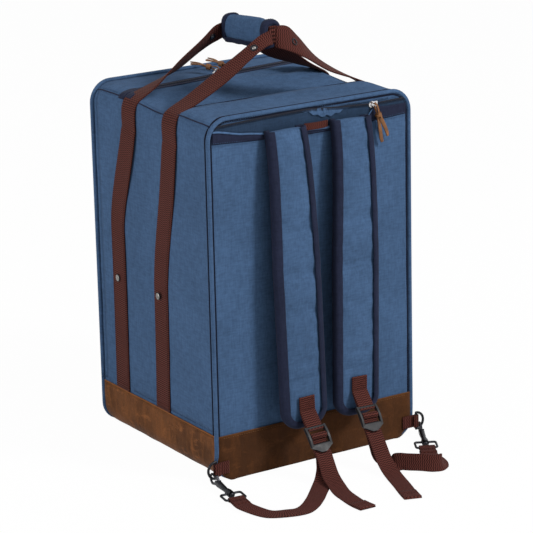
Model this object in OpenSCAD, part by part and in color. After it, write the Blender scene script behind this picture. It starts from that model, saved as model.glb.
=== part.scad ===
// Padded carry bag for a box drum: backpack straps, a gathered carry handle and a zipped front door.
// Millimetres. +Z up, back panel (shoulder straps) faces -Y, origin at the middle of the bag's base.

/* [Bag body] */
// Width of the bag, side to side
bag_w = 320; // [290:1:360]
// Depth of the bag, back to front
bag_d = 308; // [300:1:330]
// Height of the bag without handle
bag_h = 500; // [470:1:540]
// Thickness of a padded side wall
wall_t = 10; // [8:0.5:14]
// Thickness of the padded top
top_t = 8; // [6:0.5:9]
// Thickness of the padded bottom
floor_t = 12; // [10:0.5:14]
// Radius of the upper corners
top_r = 28; // [20:1:34]
// Radius of the lower corners
base_r = 30; // [24:1:36]
// Thickness of the stiff board inside the base
board_t = 3; // [2:0.5:5]
// Diameter of the piping cord round the front and back
piping_d = 6; // [4:0.5:8]

/* [Suede base] */
// Height of the suede band round the base
suede_h = 65; // [50:1:80]
// Thickness of the suede
suede_t = 1.8; // [1.2:0.1:2.5]

/* [Main zip and door] */
// Distance of the zip's left end in front of the middle
zip_left_y = 70; // [66:1:78]
// Distance of the zip's right end in front of the middle
zip_right_y = 104; // [100:1:112]
// Width of one half of the zip tape
tape_w = 11; // [8:0.5:14]
// Thickness of the zip tape
tape_t = 1; // [0.6:0.1:1.5]
// Width of one coil of the zip
coil_w = 2.4; // [1.6:0.1:3]
// Gap between the two halves of the zip
zip_gap = 1; // [0.6:0.1:2]
// Height of the door's lower edge
door_z = 70; // [68:1:90]

/* [Sliders] */
// Length of the slider's body
slider_l = 14; // [11:0.5:18]
// Width of the slider's body
slider_w = 9; // [7:0.5:11]
// Length of a leather pull
pull_l = 42; // [32:1:50]
// Width of the leather lace
lace_w = 5; // [3.5:0.5:6.5]
// Diameter of the knot in the lace
knot_d = 10; // [8:0.5:12]
// Length of the pocket's leather pull
pocket_pull_l = 54; // [44:1:60]

/* [Carry handle] */
// Width of the handle webbing
handle_w = 38; // [32:1:44]
// Thickness of webbing
web_t = 2; // [1.4:0.1:2.6]
// Foot of the rear handle leg, measured from the middle of the bag
rear_foot_y = -14; // [-22:1:-8]
// Top of the rear handle leg, measured from the middle of the bag
rear_top_y = -56; // [-62:1:-50]
// Foot of the left front handle leg, measured from the middle of the bag
front_foot_y = 97; // [88:1:106]
// Foot of the right front handle leg, which stays behind the zip
zip_foot_y = 80; // [72:1:82]
// Top of the front handle leg, measured from the middle of the bag
front_top_y = 52; // [46:1:58]
// How far the handle webbing is led round the bag's upper corner, in degrees
leg_wrap = 56; // [50:1:62]
// Length of the padded grip
grip_l = 110; // [100:1:120]
// Width of the padded grip
grip_w = 31; // [26:1:36]
// Height of the padded grip
grip_h = 40; // [34:1:44]
// Height of the grip's middle above the base
grip_z = 581; // [575:1:590]
// Tilt of the grip, its rear end up
grip_tilt = 3; // [0:0.5:4]
// Width of the binding at the grip's ends
grip_bind_w = 9; // [6:1:12]
// Diameter of a rivet's cap
rivet_d = 9; // [7:0.5:11]

/* [Back pocket] */
// Thickness of the pocket's outer layer
pocket_t = 3; // [2:0.5:4]
// Height of the pocket's upper edge
pocket_h = 478; // [470:1:482]
// Height of the pocket's zip tape
pocket_band_h = 16; // [12:1:18]
// Position of the pocket's slider
pocket_slider_x = 101; // [99:1:106]

/* [Shoulder straps] */
// Width of a pad at its top
pad_top_w = 62; // [54:1:66]
// Width of a pad at its foot
pad_foot_w = 72; // [64:1:76]
// Thickness of a pad
pad_t = 15; // [11:0.5:18]
// Middle of the left pad's top
pad_left_x = -46; // [-50:1:-42]
// Middle of the right pad's top
pad_right_x = 59; // [55:1:60]
// Height of a pad's top
pad_top_z = 477; // [468:1:477]
// Height of a pad's foot above the ground
pad_foot_z = 65; // [59:1:82]
// Lean of the left pad
pad_left_lean = 0.8; // [0:0.1:2]
// Lean of the right pad
pad_right_lean = -2; // [-3:0.1:0]
// How far a pad bows away from the back near its top
pad_bow = 12; // [8:1:16]
// How far a pad's foot stands off further
pad_lean = 13; // [9:1:18]
// Width of the navy binding
bind_w = 8; // [5:0.5:10]
// Width of the shoulder strap webbing
web_w = 25; // [20:1:26]

/* [Ladder-lock buckles] */
// Width of a buckle
buckle_w = 33; // [32:0.5:38]
// Length of a buckle without its tab
buckle_l = 25; // [23:0.5:30]
// Length of the thumb tab
tab_l = 11; // [8:0.5:14]
// Diameter of a buckle's bars
bar_d = 4; // [3:0.1:5]
// Height of a side rail
rail_h = 6; // [5:0.1:8]
// Thickness of a side rail
rail_t = 3; // [2:0.1:3.5]
// Tilt of a buckle outwards from upright
buckle_tilt = 38; // [32:1:42]

/* [Rings and snap hooks] */
// Inner height of a D-ring
ring_h = 24; // [22:0.5:26]
// Diameter of the ring's wire
ring_wire_d = 3.6; // [3:0.1:4]
// Length of a hook from the ring to the swivel's end
hook_l = 60; // [57:1:66]
// Radius of the hook's bow, to the wire's middle
bow_r = 6.6; // [6:0.1:7]
// Diameter of the hook's bow
bow_d = 3.2; // [2.8:0.1:3.6]
// Diameter of the hook's shank
shank_d = 9.5; // [8:0.5:11]
// Diameter of the swivel's stem
stem_d = 4.2; // [3.4:0.1:4.8]
// Diameter of the swivel loop's wire
loop_wire_d = 3.2; // [2.6:0.1:3.6]
// Direction of the left hook, from straight back
left_hook_turn = -6; // [-10:1:0]
// Direction of the right hook, from straight back
right_hook_turn = -28; // [-32:1:-24]
// Slope of both hooks, down towards the ground
hook_dip = 4; // [2:0.5:4.5]

/* [Hidden] */
$fn = 48;

gap = 0.3;              // clearance between pieces that move against each other
bore_gap = 0.08;        // radial clearance of a running fit
cut = 1;                // how far a cutting body runs past the face that it cuts
hw = bag_w / 2;
hd = bag_d / 2;
piping_r = piping_d / 2;
denim = [0.27, 0.39, 0.55];
navy = [0.17, 0.19, 0.29];
maroon = [0.33, 0.16, 0.15];
suede_brown = [0.37, 0.23, 0.12];
lace_tan = [0.59, 0.37, 0.18];
hardware = [0.09, 0.09, 0.1];
silver = [0.75, 0.75, 0.76];

// ---------- shared shapes ----------

function unit(v) = v / norm(v);
function across(v, along) = unit(v - (v * along) * along);

// A rectangle with rounded corners, centred.
module rounded_rect(w, h, r) {
    square([w - 2 * r, h], center = true);
    square([w, h - 2 * r], center = true);
    for (x = [-1, 1], y = [-1, 1])
        translate([x * (w / 2 - r), y * (h / 2 - r)]) circle(r);
}

// The bag seen from the front, grown outwards by g.
module front_outline(g = 0) {
    translate([-hw - g, base_r]) square([bag_w + 2 * g, bag_h - base_r - top_r]);
    translate([-hw + base_r, -g]) square([bag_w - 2 * base_r, base_r + g]);
    translate([-hw + top_r, bag_h - top_r]) square([bag_w - 2 * top_r, top_r + g]);
    for (x = [-1, 1]) {
        translate([x * (hw - base_r), base_r]) circle(base_r + g);
        translate([x * (hw - top_r), bag_h - top_r]) circle(top_r + g);
    }
}

// The bag's outline as a slab between two depths.
module slab(y0, y1, g = 0) {
    translate([0, y1, 0]) rotate([90, 0, 0]) linear_extrude(y1 - y0) front_outline(g);
}

module block(low, high) {
    translate(low) cube(high - low);
}

// Piping along the bag's outline at one depth.
module piping_ring(y) {
    g = piping_r - 1.4;
    turn_r = base_r - piping_r;        // its lower run lies on the ground
    for (side = [-1, 1]) {
        translate([side * (hw + g), y, base_r])
            cylinder(h = bag_h - base_r - top_r, r = piping_r);
        translate([side * (hw - top_r), y, bag_h - top_r]) rotate([90, side > 0 ? 0 : -90, 0])
            rotate_extrude(angle = 90) translate([top_r + g, 0]) circle(piping_r);
        translate([side * (hw + g - turn_r), y, base_r]) rotate([90, side > 0 ? 90 : 180, 0])
            rotate_extrude(angle = 90) translate([turn_r, 0]) circle(piping_r);
    }
    translate([-hw + top_r, y, bag_h + g]) rotate([0, 90, 0])
        cylinder(h = bag_w - 2 * top_r, r = piping_r);
    translate([turn_r - hw - g, y, piping_r]) rotate([0, 90, 0])
        cylinder(h = bag_w + 2 * (g - turn_r), r = piping_r);
}

// Point t of the way from b to c on a smooth curve through a, b, c and d.
function curve(a, b, c, d, t) =
    0.5 * (2 * b + (c - a) * t + (2 * a - 5 * b + 4 * c - d) * t * t + (3 * b - a - 3 * c + d) * t * t * t);
function smooth(p, n) = [
    for (i = [0 : len(p) - 2], k = [0 : n - 1])
        curve(p[max(i - 1, 0)], p[i], p[i + 1], p[min(i + 2, len(p) - 1)], k / n),
    p[len(p) - 1]
];

// A strap swept along a route. sides holds the direction of its width at each point of the route,
// and a shorter one narrows the strap there.
module ribbon(points, sides, w, t, n = 4) {
    path = smooth(points, n);
    wide = smooth(sides, n);
    last = len(path) - 1;
    end = len(points) - 1;
    rings = [
        for (i = [0 : last])
            let (along = unit(i == 0 ? points[1] - points[0]
                              : i == last ? points[end] - points[end - 1] : path[i + 1] - path[i - 1]),
                 side = across(wide[i], along),
                 face = cross(along, side))
            for (c = [[1, 1], [-1, 1], [-1, -1], [1, -1]])
                path[i] + side * norm(wide[i]) * c[0] * w / 2 + face * c[1] * t / 2
    ];
    faces = [
        [0, 2, 1], [0, 3, 2],
        for (i = [0 : last - 1], k = [0 : 3])
            let (a = 4 * i + k, b = 4 * i + (k + 1) % 4)
            each k == 2 ? [[a, b, a + 4], [b, b + 4, a + 4]] : [[a, b, b + 4], [a, b + 4, a + 4]],
        [4 * last, 4 * last + 1, 4 * last + 2], [4 * last, 4 * last + 2, 4 * last + 3]
    ];
    polyhedron(rings, faces);
}

// ---------- bag body ----------

back_in_y = -hd + wall_t;        // inner face of the back
front_in_y = hd - wall_t;        // inner face of the front
top_in_z = bag_h - top_t;        // inner face of the top
zip_slope = (zip_right_y - zip_left_y) / bag_w;
zip_turn = atan(zip_slope);
function zip_y(x) = zip_left_y + zip_slope * (x + hw);

// Everything behind (side = -1) or in front (side = 1) of the zip, away from its middle by off.
module zip_side(side, off) {
    translate([-hw, zip_left_y, -cut]) rotate([0, 0, zip_turn])
        translate([-bag_w, side > 0 ? off : -2 * bag_d - off, 0])
            cube([3 * bag_w, 2 * bag_d, bag_h + 2 * grip_h]);
}

module back_panel() {
    color(denim) slab(-hd + pocket_t, back_in_y);
}

module pocket_panel() {
    color(denim) intersection() {
        slab(-hd, -hd + pocket_t);
        block([-hw, -bag_d, 0], [hw, bag_d, pocket_h]);
    }
}

module pocket_zip_tape() {
    half = hw - top_r / 2;
    color(navy) block([-half, -hd + pocket_t - 2 * tape_t, pocket_h],
                      [half, -hd + pocket_t, pocket_h + pocket_band_h]);
}

// Rolled lip of the open pocket above the pads.
lip_r = 3;
module pocket_lip() {
    start = -hw + top_r;
    color(denim) translate([start, -hd - lip_r + tape_t, pocket_h + lip_r + 4]) rotate([0, 90, 0])
        cylinder(h = pocket_slider_x - slider_l - start, r = lip_r);
}

module haul_loop() {
    middle = (pad_left_x + pad_right_x) / 2;
    color(maroon) block([middle - handle_w / 2, -hd - web_t, pocket_h - 10],
                        [middle + handle_w / 2, -hd, pocket_h]);
}

module left_panel() {
    color(denim) intersection() {
        slab(back_in_y, front_in_y);
        block([-hw, -hd, floor_t], [-hw + wall_t, hd, top_in_z]);
    }
}

module right_panel() {
    color(denim) intersection() {
        slab(back_in_y, front_in_y);
        block([hw - wall_t, -hd, floor_t], [hw, hd, top_in_z]);
        union() {
            zip_side(-1, zip_gap / 2);
            block([0, 0, 0], [hw, hd, door_z - zip_gap]);
        }
    }
}

module top_rear_panel() {
    color(denim) intersection() {
        slab(back_in_y, front_in_y);
        block([-hw, -hd, top_in_z], [hw, hd, bag_h]);
        zip_side(-1, zip_gap / 2);
    }
}

module bottom_panel() {
    color(denim) intersection() {
        slab(back_in_y, front_in_y);
        block([-hw, -hd, 0], [hw, hd, floor_t]);
    }
}

module front_base_panel() {
    color(denim) intersection() {
        slab(front_in_y, hd);
        block([-hw, 0, 0], [hw, hd, door_z - zip_gap]);
    }
}

module base_board() {
    color(hardware) block([-hw + wall_t + gap, back_in_y + gap, floor_t],
                          [hw - wall_t - gap, front_in_y - gap, floor_t + board_t]);
}

module suede_band() {
    lift = 0.5;
    color(suede_brown) difference() {
        intersection() {
            slab(-hd - suede_t, hd + suede_t, suede_t);
            block([-bag_w, -bag_d, lift], [bag_w, bag_d, suede_h]);
        }
        slab(-hd, hd);
        piping_ring(-hd);
        piping_ring(hd);
    }
}

module back_piping() {
    color(denim) difference() {
        piping_ring(-hd);
        slab(-hd, back_in_y);
    }
}

module front_piping_base() {
    color(denim) difference() {
        piping_ring(hd);
        slab(front_in_y, hd);
        block([-bag_w, 0, door_z - zip_gap], [bag_w, bag_d, 2 * bag_h]);
    }
}

// ---------- zip ----------

// The zip's band on one side of its gap, from near to far off the middle, over the top and down
// the right side.
module zip_band(side, near, far, t) {
    intersection() {
        difference() {
            slab(0, front_in_y - gap, t);
            slab(-cut, hd);
        }
        zip_side(side, near);
        zip_side(-side, -far);
        block([-hw + top_r + 2, 0, door_z], [bag_w, hd, bag_h + grip_h]);
    }
}

// The zip's band along the door's lower edge, on the front of the bag.
module zip_band_front(near, far, t) {
    block([-hw + wall_t, hd, door_z + near], [hw - wall_t, hd + t, door_z + far]);
}

module zip_tape_body() {
    color(navy) difference() {
        zip_band(-1, zip_gap / 2 + coil_w, zip_gap / 2 + tape_w, tape_t);
        handle_legs();
    }
}

module zip_coil_body() {
    color(hardware) zip_band(-1, zip_gap / 2, zip_gap / 2 + coil_w, tape_t + 0.4);
}

module zip_tape_door() {
    color(navy) {
        zip_band(1, zip_gap / 2 + coil_w, zip_gap / 2 + tape_w, tape_t);
        zip_band_front(coil_w, tape_w, tape_t);
    }
}

module zip_coil_door() {
    color(hardware) {
        zip_band(1, zip_gap / 2, zip_gap / 2 + coil_w, tape_t + 0.4);
        zip_band_front(0, coil_w, tape_t + 0.4);
    }
}

// ---------- door ----------

module front_panel() {
    color(denim) intersection() {
        slab(front_in_y + gap, hd);
        block([-hw, 0, door_z], [hw, hd, bag_h]);
    }
}

module door_top_strip() {
    color(denim) intersection() {
        slab(0, front_in_y + gap);
        block([-hw, 0, top_in_z + gap], [hw - wall_t, hd, bag_h]);
        zip_side(1, zip_gap / 2);
    }
}

module door_side_strip() {
    color(denim) intersection() {
        slab(0, front_in_y + gap);
        block([hw - wall_t, 0, door_z], [hw, hd, bag_h]);
        zip_side(1, zip_gap / 2);
    }
}

module front_piping() {
    color(denim) difference() {
        piping_ring(hd);
        slab(front_in_y, hd);
        block([-bag_w, 0, -bag_h], [bag_w, bag_d, door_z]);
    }
}

// ---------- carry handle ----------

leg_h = bag_h - top_r;                 // the webbing lies flat on the side up to this height
rear_bend_h = bag_h * 0.46;            // above these heights the legs lean towards the rear
front_bend_h = bag_h * 0.6;
leg_steps = 12;

// Foot, top and height of the bend of both legs on one side.
function legs(side) =
    [[rear_foot_y, rear_top_y, rear_bend_h],
     [side < 0 ? front_foot_y : zip_foot_y, front_top_y, front_bend_h]];
function leg_y(leg, z) =
    let (t = max(0, (z - leg[2]) / (leg_h - leg[2])))
    leg[0] + (leg[1] - leg[0]) * t * t * (3 - 2 * t);

// Webbing legs on both sides, from the suede up and round the bag's upper corners.
module handle_legs() {
    half = handle_w / 2;
    heights = [for (i = [0 : leg_steps]) suede_h + (leg_h - suede_h) * i / leg_steps];
    for (side = [-1, 1], leg = legs(side)) {
        translate([side > 0 ? hw : -hw - web_t, 0, 0]) rotate([90, 0, 90]) linear_extrude(web_t)
            polygon(concat([for (z = heights) [leg_y(leg, z) + half, z]],
                           [for (i = [leg_steps : -1 : 0]) [leg_y(leg, heights[i]) - half, heights[i]]]));
        translate([side * (hw - top_r), leg[1], leg_h]) rotate([90, side > 0 ? 0 : leg_wrap - 180, 0])
            rotate_extrude(angle = leg_wrap) translate([top_r, -half]) square([web_t, handle_w]);
    }
}

module handle_webs() {
    color(maroon) handle_legs();
}

// A domed rivet whose cap stands on the strap, pointing along +Z.
module rivet() {
    rise = rivet_d / 4;
    intersection() {
        cylinder(h = rise, d = rivet_d);
        translate([0, 0, rise - rivet_d]) sphere(rivet_d);
    }
}

rivet_z = 230;
rivet_in = 2;                          // the rivet sits a little towards the strap's front edge
module side_rivets() {
    color(silver) for (side = [-1, 1], leg = legs(side))
        translate([side * (hw + web_t), leg_y(leg, rivet_z) + rivet_in, rivet_z])
            rotate([0, side * 90, 0]) rivet();
}

grip_y = -11;                          // middle of the grip
grip_rear_y = grip_y - grip_l / 2;
grip_front_y = grip_y + grip_l / 2;
module grip_body(g = 0) {
    translate([0, grip_y, grip_z]) rotate([90 - grip_tilt, 0, 0])
        linear_extrude(grip_l, center = true)
            rounded_rect(grip_w + 2 * g, grip_h + 2 * g, grip_w / 2 - 2 + g);
}

module grip_wrap() {
    color(denim) grip_body();
}

grip_bind_t = 1.2;
module grip_binding() {
    color(navy) difference() {
        grip_body(grip_bind_t);
        grip_body();
        translate([0, grip_y, grip_z]) rotate([-grip_tilt, 0, 0])
            cube([2 * grip_w, grip_l - 2 * grip_bind_w, 2 * grip_h], center = true);
    }
}

// Free legs from the bag's corners up to the grip: routes, and the directions of their width.
// out is -1 at the grip's rear end and 1 at its front end.
leg_lift = 0.5;                        // clearance of a free leg above the bag
function leg_route(side, out) =
    let (r = top_r + web_t / 2 + leg_lift,
         start = [side * (hw - top_r + r * cos(leg_wrap)), out > 0 ? front_top_y : rear_top_y,
                  leg_h + r * sin(leg_wrap)],
         lead = [-side * sin(leg_wrap), 0, cos(leg_wrap)],
         face_y = out > 0 ? grip_front_y : grip_rear_y,
         end = [side * (grip_w / 2 + 7), face_y + out * 4, grip_z - 6 - out * 3])
    [start + lead * 3 * gap, start + lead * 16, (start + end) / 2, start + (end - start) * 0.8, end,
     [side * 5, face_y + out * 2.9, grip_z - 2 - out * 3]];
function leg_sides(out) =
    out > 0
        ? [[0, 1, 0], [0, 0.97, -0.2], [0, 0.75, -0.66], [0, 0.62, -0.72], [0, 0.3, -0.8], [0, 0, -0.7]]
        : [[0, 1, 0], [0, 1, 0], [0, 0.96, 0.3], [0, 0.95, 0.3], [0, 0.3, 0.8], [0, 0, 0.7]];

module handle_loop(side) {
    color(maroon)
        for (out = [-1, 1]) ribbon(leg_route(side, out), leg_sides(out), handle_w - 4, web_t, 8);
}

module handle_loop_left() {
    handle_loop(-1);
}

module handle_loop_right() {
    handle_loop(1);
}

// Children are turned from +Z towards a direction.
module towards(n) {
    rotate([0, acos(n[2] / norm(n)), atan2(n[1], n[0])]) children();
}

// Rivets on the outer faces of the free legs, just below the grip, where the legs twist.
rivet_off = 0.6;
module grip_rivets() {
    color(silver) for (side = [-1, 1], out = [-1, 1]) {
        route = leg_route(side, out);
        along = unit(route[4] - route[2]);
        face = -side * cross(along, across(leg_sides(out)[3], along));
        translate(route[3] + face * (web_t / 2 + rivet_off)) towards(face) rivet();
    }
}

// ---------- sliders and leather pulls ----------

coil_top = bag_h + tape_t + 0.4;
slider_h = 3.4;
pull_pin_up = 5.2;                     // how far the middle of the pull's eye lies above the slider

// A zip slider, its travel along X, its underside at the origin.
module slider_body() {
    difference() {
        linear_extrude(slider_h) {
            translate([-slider_l / 2 + slider_w / 2, 0]) circle(d = slider_w);
            translate([-slider_l / 2 + slider_w / 2, -slider_w * 0.4])
                square([slider_l - slider_w / 2, slider_w * 0.8]);
        }
        for (y = [-1, 1]) translate([-slider_l, y * slider_w * 0.62 - 1.2, 1])
            cube([2 * slider_l, 2.4, 1.2]);
    }
    difference() {
        translate([0, 1.1, slider_h]) rotate([90, 0, 0]) cylinder(h = 2.2, d = slider_l * 0.7);
        translate([0, 2, slider_h]) rotate([90, 0, 0]) cylinder(h = 4, d = slider_l * 0.7 - 3.2);
        translate([-slider_l, -slider_w, -slider_l]) cube([2 * slider_l, 2 * slider_w, slider_l]);
    }
}

// A knotted leather lace lying along +X from the eye at the origin.
module lace(l) {
    eye_r = 2.6;
    knot_x = l * 0.3;
    rotate([90, 0, 0]) rotate_extrude() translate([eye_r + 1, 0]) circle(1.1, $fn = 24);
    translate([eye_r + 1, 0, 0]) rotate([0, 90, 0]) cylinder(h = knot_x - eye_r - 1, r = 1.9);
    translate([knot_x, 0, 0]) intersection() {
        sphere(d = knot_d);
        cube([knot_d, knot_d, knot_d * 0.8], center = true);
    }
    for (side = [-1, 1]) translate([knot_x, 0, 0]) rotate([0, 0, side * 9])
        translate([0, -lace_w / 2, -1]) cube([l - knot_x - (side > 0 ? 4 : 0), lace_w, 2]);
}

slider_left_x = 4;
slider_right_x = slider_left_x + slider_l + 6;
pull_left_yaw = 126;
pull_right_yaw = 106;
pull_rise = 10;
function slider_at(x) = [x, zip_y(x), coil_top + gap];
function eye_at(x) = slider_at(x) + [0, 0, slider_h + pull_pin_up];

module main_slider(x, flip) {
    color(silver) translate(slider_at(x)) rotate([0, 0, zip_turn + flip]) slider_body();
}

module main_slider_left() {
    main_slider(slider_left_x, 0);
}

module main_slider_right() {
    main_slider(slider_right_x, 180);
}

module main_pull_left() {
    color(lace_tan) translate(eye_at(slider_left_x))
        rotate([0, -pull_rise, pull_left_yaw]) lace(pull_l);
}

module main_pull_right() {
    color(lace_tan) translate(eye_at(slider_right_x))
        rotate([0, -pull_rise, pull_right_yaw]) lace(pull_l);
}

pocket_zip_z = pocket_h + pocket_band_h * 0.66;
pocket_face_y = -hd + pocket_t - 2 * tape_t;
module pocket_slider() {
    color(silver) translate([pocket_slider_x, pocket_face_y - gap, pocket_zip_z]) rotate([90, 0, 0])
        slider_body();
}

pocket_pull_lean = 18;
module pocket_pull() {
    color(lace_tan)
        translate([pocket_slider_x, pocket_face_y - gap - slider_h - pull_pin_up, pocket_zip_z])
            rotate([0, 90 - pocket_pull_lean, 0]) rotate([90, 0, 0]) lace(pocket_pull_l);
}

// ---------- shoulder pads ----------

pad_l = pad_top_z - pad_foot_z;
pad_in_y = -hd - gap;                  // inner face of a pad at its top
function pad_off(s) = pad_bow * (1 - exp(-s / 45)) + pad_lean * s / pad_l;

// Side view of a layer of the pad, from its depth near to its depth far behind the pad's inner face.
module pad_profile(near, far) {
    last = 14;
    steps = [for (k = [0 : last]) pad_l * pow(k / last, 2)];
    polygon(concat(
        [for (s = steps) [pad_in_y - pad_off(s) - near, -s]],
        [for (k = [last : -1 : 0]) [pad_in_y - pad_off(steps[k]) - far, -steps[k]]]));
}

// Front view of a pad, its top edge at the origin, drawn inwards by d.
module pad_outline(d = 0) {
    r = pad_foot_w * 0.36;
    foot = pad_foot_w / 2 - d;
    round = [for (a = [0 : 10 : 90]) [foot - r + d + (r - d) * cos(a), r - pad_l - (r - d) * sin(a)]];
    half = concat([[pad_top_w / 2 - d, 0], [foot, -pad_l * 0.45]], round);
    polygon(concat(half, [for (k = [len(half) - 1 : -1 : 0]) [-half[k][0], half[k][1]]]));
}

// Children are moved from a pad's own place, its top edge at the origin, to the back of the bag.
module on_pad(x, lean) {
    translate([x, 0, pad_top_z]) rotate([0, -lean, 0]) children();
}

module pad_layer(near, far) {
    intersection() {
        translate([0, bag_d, 0]) rotate([90, 0, 0]) linear_extrude(2 * bag_d) children();
        rotate([90, 0, 90]) translate([0, 0, -bag_w]) linear_extrude(2 * bag_w) pad_profile(near, far);
    }
}

module pad(x, lean) {
    color(denim) on_pad(x, lean) pad_layer(0, pad_t) pad_outline(bind_w);
}

module pad_binding(x, lean) {
    color(navy) on_pad(x, lean) pad_layer(0, pad_t) difference() {
        pad_outline();
        pad_outline(bind_w);
        translate([-pad_top_w / 2 + bind_w, -bind_w]) square([pad_top_w - 2 * bind_w, 2 * bind_w]);
    }
}

module pad_left() {
    pad(pad_left_x, pad_left_lean);
}

module pad_right() {
    pad(pad_right_x, pad_right_lean);
}

module pad_binding_left() {
    pad_binding(pad_left_x, pad_left_lean);
}

module pad_binding_right() {
    pad_binding(pad_right_x, pad_right_lean);
}

// ---------- ladder-lock buckles and their webbing ----------

bar_r = bar_d / 2;
buckle_left_s = pad_l - 5;             // how far down the left pad its buckle hangs
buckle_right_s = pad_l - 16;           // and down the right pad
buckle_out = 17;                       // how far the buckle's top bar stands off the pad's face
web_sewn_l = 28;                       // length of the anchor webbing that is sewn to the pad
web_free_l = 26;                       // and of the part that hangs free above the buckle
function buckle_y(s) = pad_in_y - pad_off(s) - pad_t - buckle_out;

// Children are moved from a buckle's own place, its top bar at the origin and its tab down -Z.
module on_buckle(s) {
    translate([0, buckle_y(s), -s]) rotate([-buckle_tilt, 0, 0]) children();
}

// A point given in a buckle's own place, in the bag's frame.
function from_buckle(x, lean, s, p) =
    let (y = p[1] * cos(buckle_tilt) + p[2] * sin(buckle_tilt) + buckle_y(s),
         z = -p[1] * sin(buckle_tilt) + p[2] * cos(buckle_tilt) - s)
    [x + p[0] * cos(lean) - z * sin(lean), y, pad_top_z + p[0] * sin(lean) + z * cos(lean)];

// Anchor webbing: sewn down the pad's face, then hanging to a loop round the buckle's top bar.
module pad_web(x, lean, s) {
    face_y = buckle_y(s) + buckle_out;
    top = web_free_l - s;
    color(maroon) on_pad(x, lean) difference() {
        union() {
            pad_layer(pad_t, pad_t + web_t)
                translate([-web_w / 2, top]) square([web_w, web_sewn_l]);
            translate([-web_w / 2, 0, 0]) rotate([90, 0, 90]) linear_extrude(web_w)
                polygon([[face_y + 0.6, top], [face_y - web_t, top + web_t],
                         [buckle_y(s) - web_t / 2, 0.5 - s], [buckle_y(s) + web_t / 2, -s - 0.5]]);
            translate([-web_w / 2, buckle_y(s), -s]) rotate([0, 90, 0])
                cylinder(h = web_w, r = bar_r + bore_gap + web_t);
        }
        translate([-web_w, buckle_y(s), -s]) rotate([0, 90, 0])
            cylinder(h = 2 * web_w, r = bar_r + bore_gap);
        pad_layer(0, pad_t) translate([-web_w, -pad_l]) square([2 * web_w, pad_l]);
    }
}

// Side view of a rail: an arch that stands out over the bars.
module rail_profile() {
    reach = buckle_l + bar_d;
    last = 10;
    polygon(concat(
        [for (k = [0 : last]) [-bar_r - (rail_h - bar_d) * sin(180 * k / last), bar_r - reach * k / last]],
        [[bar_r * 0.8, bar_r - reach], [bar_r * 0.8, bar_r]]));
}

module bar(z, y = 0) {
    translate([-buckle_w / 2, y, z]) rotate([0, 90, 0]) cylinder(h = buckle_w, r = bar_r);
}

mid_bar_z = -buckle_l / 2;
mid_bar_y = -1;
module buckle(x, lean, s) {
    half = buckle_w / 2;
    color(hardware) on_pad(x, lean) on_buckle(s) {
        bar(0);
        bar(mid_bar_z, mid_bar_y);
        bar(-buckle_l);
        for (side = [-1, 1]) translate([side > 0 ? half - rail_t : -half, 0, 0])
            rotate([90, 0, 90]) linear_extrude(rail_t) rail_profile();
        translate([0, -bar_r + 2.4, 0]) rotate([90, 0, 0]) linear_extrude(2.4)
            polygon([[-half, -buckle_l], [half, -buckle_l], [half, -buckle_l - 3],
                     [half * 0.25, -buckle_l - tab_l], [-half * 0.25, -buckle_l - tab_l],
                     [-half, -buckle_l - 3]]);
    }
}

tail_y = bar_r + web_t / 2 + 0.3;      // the tail runs close behind the lower bar
load_y = tail_y + web_t + 0.3;         // and the loaded webbing close behind the tail
web_out_z = -buckle_l - 3;             // both leave the buckle here
web_play = 0.95;                       // and go on beyond this gap, so that the buckle can tilt

// The webbing's turn over the middle bar, from the loaded side round to the tail's side.
module buckle_web(x, lean, s) {
    r = bar_r + web_t / 2 + 0.3;
    turn = [for (a = [50 : 25 : 300])
        [0, mid_bar_y + r * cos(a), mid_bar_z + r * sin(a)]];
    points = concat(
        [[0, load_y, web_out_z], [0, load_y, mid_bar_z - 5]],
        turn,
        [[0, tail_y, -buckle_l + 5], [0, tail_y, web_out_z]]);
    color(maroon) on_pad(x, lean) on_buckle(s)
        ribbon(points, [for (p = points) [1, 0, 0]], web_w, web_t, 1);
}

// Width direction of a strap at each point of a route: as on the buckle for the first few points,
// then flat on the ground, and narrowed where it folds round a sharp turn.
fold_share = 0.75;
function flat_sides(p, lean, n, fold = -1) = [
    for (i = [0 : n - 1]) [-cos(lean), 0, -sin(lean)],
    for (i = [n : len(p) - 1])
        let (d = p[min(i + 1, len(p) - 1)] - p[i - 1])
        unit([d[1], -d[0], 0]) * (i == fold ? fold_share : 1)
];

// Routes over the ground are given from the foot of the bag's back.
function from_back(route) = [for (p = route) p - [0, hd, 0]];

// Free tails of the shoulder webbing, which hang from the buckles and lie out on the ground.
tail_left_route = [
    [-40.5, -85, 28], [-42.5, -97, 14], [-46, -117, 5.6], [-51, -140, 1.8],
    [-54, -170, 1.4], [-55, -202, 1.4]
];
tail_right_route = [
    [44.3, -86, 37], [44.8, -97, 20], [43.5, -113, 8], [38, -138, 2],
    [26, -174, 1.4], [14, -208, 1.4]
];

module tail(x, lean, s, route) {
    start = [for (z = [web_play, 10]) from_buckle(x, lean, s, [0, tail_y, web_out_z - z])];
    points = concat(start, from_back(route));
    color(maroon) ribbon(points, flat_sides(points, lean, 3), web_w, web_t);
}

// Loaded webbing, from each buckle down to the ground and round to its snap hook.
lower_left_route = [
    [-41, -80, 27], [-45, -86, 14], [-56, -96, 4], [-74, -114, 1.6], [-92, -133, 1.4],
    [-110, -148, 1.4], [-129, -157, 1.4], [-147, -157, 1.4], [-162, -149, 1.4],
    [-173, -134, 1.4]
];
lower_right_route = [
    [44.5, -82, 34], [47, -88, 19], [55, -96, 7], [68, -109, 2], [82, -126, 1.4],
    [97, -139, 1.4], [113, -139, 1.4], [122, -122, 1.4]
];

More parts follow.
